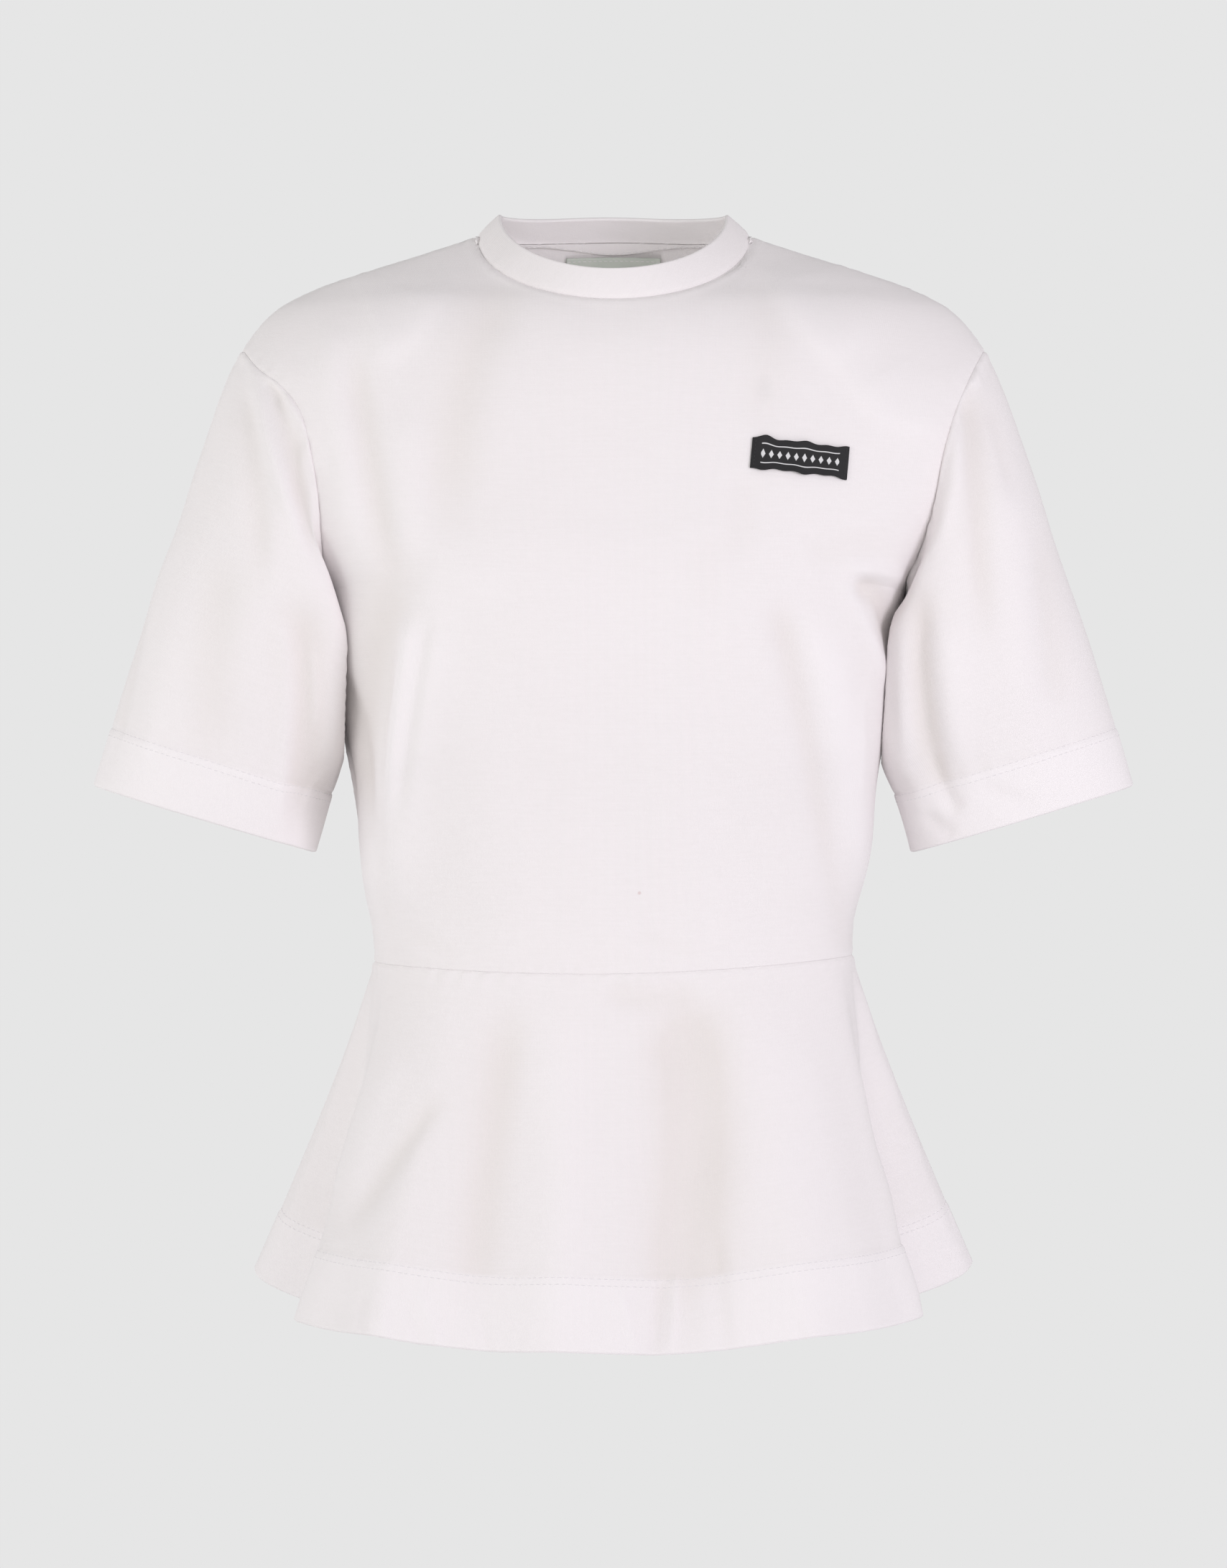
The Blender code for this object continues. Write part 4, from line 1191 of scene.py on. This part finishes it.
def finish_band():
    grid, normal = grids["neck_band"], normals["neck_band"]
    from_seam = lengths(grid, 0)
    from_top = from_seam[-1:] - from_seam
    around = lengths(grid, 1)
    lift = seam_roll(from_seam, 0.0006, 0.0016) + 0.0004 * np.sin(np.pi * from_seam / from_seam[-1:])
    lift += ripple(around, from_seam, 41, 0.03, 0.0002)
    lift += eased(from_seam / 0.0015) * pucker(around, from_seam, 42, 0.006, 0.0002)
    draw = rounded_edge(from_top, BAND_CLOTH)
    outer = grid + normal * (lift - draw)[..., None]
    inner = grid + normal * (lift - BAND_CLOTH + draw)[..., None]
    uv = np.stack([from_seam, around], -1)
    piece = make_shell("neck_band_cloth", outer, inner, True, uv)
    dress(piece, jersey, "white_jersey", "neck_band")


finish_band()
finish_panel("front_bodice", FRONT_CREASES, front_jersey, 11)
finish_panel("back_bodice", BACK_CREASES, jersey, 21)
sleeves = {
    "left_sleeve": finish_sleeve("left_sleeve", LEFT_SLEEVE_CREASES, LEFT_SLEEVE_BACK_CREASES, 31),
    "right_sleeve": finish_sleeve("right_sleeve", RIGHT_SLEEVE_CREASES, RIGHT_SLEEVE_BACK_CREASES, 35),
}
peplums = {
    "front_peplum": finish_peplum(
        "front_peplum", PEPLUM_FRONT_CREASES, peplum_jersey, 51
    ),
    "back_peplum": finish_peplum("back_peplum", PEPLUM_BACK_CREASES, jersey, 55),
}


def row_at(face, normal, off, distance, wrap):
    """The line across a finished face at a distance from its free edge."""
    points, facing = [], []
    for j in range(face.shape[1]):
        order = np.argsort(off[:, j])
        points.append([np.interp(distance, off[order, j], face[order, j, c]) for c in range(3)])
        facing.append([np.interp(distance, off[order, j], normal[order, j, c]) for c in range(3)])
    if wrap:
        points.append(points[0])
        facing.append(facing[0])
    return np.array(points), np.array(facing)


ROW_GAP = 0.0038
for name, (face, normal, off) in {**sleeves, **peplums}.items():
    hem = SLEEVE_HEM if "sleeve" in name else PEPLUM_HEM
    wrap = name in wraps
    lines = [row_at(face, normal, off, hem - 0.0012 - k * ROW_GAP, wrap) for k in range(2)]
    stitches(name + "_hem_stitches", lines, white_thread, "white_jersey")

# Labels and tape


def chest_label():
    turn = np.radians(CHEST_LABEL_TURN)
    along, up = np.meshgrid(
        np.linspace(-0.5, 0.5, 91) * CHEST_LABEL_WIDTH, np.linspace(-0.5, 0.5, 31) * CHEST_LABEL_DEPTH
    )
    s, t = along / CHEST_LABEL_WIDTH * 2, up / CHEST_LABEL_DEPTH * 2
    edge_wave = 0.00045 * np.sin(7.0 * s + 1.0) + 0.00035 * np.sin(15.0 * s)
    tall = up * 1.04 + edge_wave * t + 0.0009 * np.exp(-(((s + 0.72) / 0.16) ** 2)) * (t > 0) * t
    across = CHEST_LABEL_CENTRE[0] + along * np.cos(turn) - tall * np.sin(turn)
    height = CHEST_LABEL_CENTRE[1] + along * np.sin(turn) + tall * np.cos(turn)
    under = bodice_surface(across, height, True)
    facing = grid_normals(under, False)
    lift = crease_rise(FRONT_CREASES, across, height) + ripple(across, height, 11, 0.045, UNEVENNESS)
    curl = 0.0009 * t**2 * (1 - 0.6 * s**2) + 0.0004 * np.sin(9 * s + 2) * t**2
    sewn = 0.0003 * np.exp(-(((1 - np.abs(s)) / 0.05) ** 2))
    outer = under + facing * (lift + 0.0014 + curl - sewn)[..., None]
    uv = np.stack([along, up], -1)
    piece = make_shell("chest_label_cloth", outer, outer - facing * LABEL_CLOTH, False, uv)
    dress(piece, black_woven, "black_woven", "chest_label")
    lines = []
    for j in (3, -4):
        lines.append((outer[2:-2, j], facing[2:-2, j]))
    stitches("chest_label_stitches", lines, black_thread, "black_woven", 0.0016, 0.0006, 0.00020)


def neck_tape():
    grid, normal = grids["back_bodice"], normals["back_bodice"]
    columns = slice(HALF_COLUMNS - NECK_INDEX + 3, HALF_COLUMNS + NECK_INDEX - 2)
    from_top = lengths(grid, 0)[-1:] - lengths(grid, 0)
    inner = grid - normal * (CLOTH + 0.0004)
    wanted = np.linspace(0.0085, 0.0006, 14)
    face, facing = [], []
    for d in wanted:
        points, towards = row_at(inner[:, columns], normal[:, columns], from_top[:, columns], d, False)
        face.append(points)
        facing.append(unit(towards))
    face, facing = np.array(face), np.array(facing)
    bow = 0.0003 * np.sin(np.pi * (wanted - wanted[-1]) / (wanted[0] - wanted[-1]))[:, None, None]
    uv = np.stack([lengths(face, 1), lengths(face, 0)], -1)
    shell = make_shell("neck_tape_cloth", face, face - facing * (LABEL_CLOTH + bow), False, uv)
    dress(shell, jersey, "white_jersey", "neck_tape")
    lines = []
    for row in (2, 11):
        lines.append((face[row] - facing[row] * (LABEL_CLOTH + bow[row]), -facing[row]))
    stitches("neck_tape_stitches", lines, white_thread, "white_jersey")


def inner_label():
    across, down = np.meshgrid(
        np.linspace(1, -1, 57) * INNER_LABEL_HALF_WIDTH, np.linspace(INNER_LABEL_DEPTH, 0, 31)
    )
    panel = bodice_surface(across, INNER_LABEL_TOP - down, False)
    bow = 0.0012 * np.sin(across * 70 + 0.6) * (down / INNER_LABEL_DEPTH)
    panel[..., 1] -= 0.0040 + 0.0020 * down / INNER_LABEL_DEPTH + bow
    facing = grid_normals(panel, False)
    uv = np.stack([across, down], -1)
    piece = make_shell("inner_label_cloth", panel, panel - facing * 0.0005, False, uv)
    dress(piece, pale_satin, "pale_satin", "inner_label")
    line = (panel[-3] - facing[-3] * 0.0005, -facing[-3])
    stitches("inner_label_stitches", [line], white_thread, "white_jersey", 0.0022, 0.0008, 0.0002)


chest_label()
neck_tape()
inner_label()

# Studio

PHOTO_HEIGHT, PHOTO_SCALE = 2183, 0.00041
CAMERA_DISTANCE, CAMERA_HEIGHT = 3.0, -0.3130
FLOOR_HEIGHT = -1.38

camera_data = bpy.data.cameras.new("camera")
camera_data.sensor_width = 36.0
camera_data.lens = 36.0 * CAMERA_DISTANCE / (PHOTO_HEIGHT * PHOTO_SCALE)
camera = bpy.data.objects.new("camera", camera_data)
camera.location = (0.0, -CAMERA_DISTANCE, CAMERA_HEIGHT)
camera.rotation_euler = (np.pi / 2, 0, 0)
bpy.context.collection.objects.link(camera)
bpy.context.scene.camera = camera


def round_light(name, place, turned, size, power, colour=(1, 1, 1)):
    data = bpy.data.lights.new(name, "AREA")
    data.shape, data.size, data.energy, data.color = "DISK", size, power, colour
    light = bpy.data.objects.new(name, data)
    light.location, light.rotation_euler = place, turned
    bpy.context.collection.objects.link(light)


def soft_box(name, turn, rise, size, power, colour=(1, 1, 1)):
    """A soft light 3 m away, turned from the front to the wearer's left and raised, in degrees."""
    turn, rise = np.radians(turn), np.radians(rise)
    away = np.array([np.sin(turn) * np.cos(rise), -np.cos(turn) * np.cos(rise), np.sin(rise)])
    place = 3.0 * away + (0, 0, CAMERA_HEIGHT)
    round_light(name, place, (np.pi / 2 - rise, 0, turn), size, power, colour)


soft_box("key", 42, 8, 1.1, 27.5, (0.95, 0.90, 1.0))
soft_box("fill", -52, 6, 1.5, 11.0)
soft_box("front", -3, 3, 0.7, 5.5)
soft_box("right_wall", -84, 8, 2.4, 14.0)
# light that comes through the thin cloth and lifts the inside of the neck
round_light("inside", (0.0, -0.01, -0.13), (np.pi, 0, 0), 0.10, 0.050)

turn = np.arange(96) * 2 * np.pi / 96
disc = bpy.data.meshes.new("floor")
disc.from_pydata([(3.4 * np.cos(a), 3.4 * np.sin(a), FLOOR_HEIGHT) for a in turn], [], [list(range(96))])
floor = bpy.data.objects.new("floor", disc)
bpy.context.collection.objects.link(floor)
paper = Finish("pale_paper", Roughness=0.9)
paper.shader.inputs["Base Color"].default_value = (0.80, 0.80, 0.80, 1)
floor.data.materials.append(paper.material)

world = bpy.data.worlds.new("studio")
world.use_nodes = True
room = Nodes(world.node_tree)
height = room.parts(room.node("ShaderNodeTexCoord"))[2]
wall = room.mix(height.over(0.22, 0.62), (0.791, 0.791, 0.791, 1), (0.44, 0.44, 0.44, 1))
world.node_tree.links.new(wall.socket, world.node_tree.nodes["Background"].inputs["Color"])
bpy.context.scene.world = world
bpy.context.scene.view_settings.view_transform = "Standard"
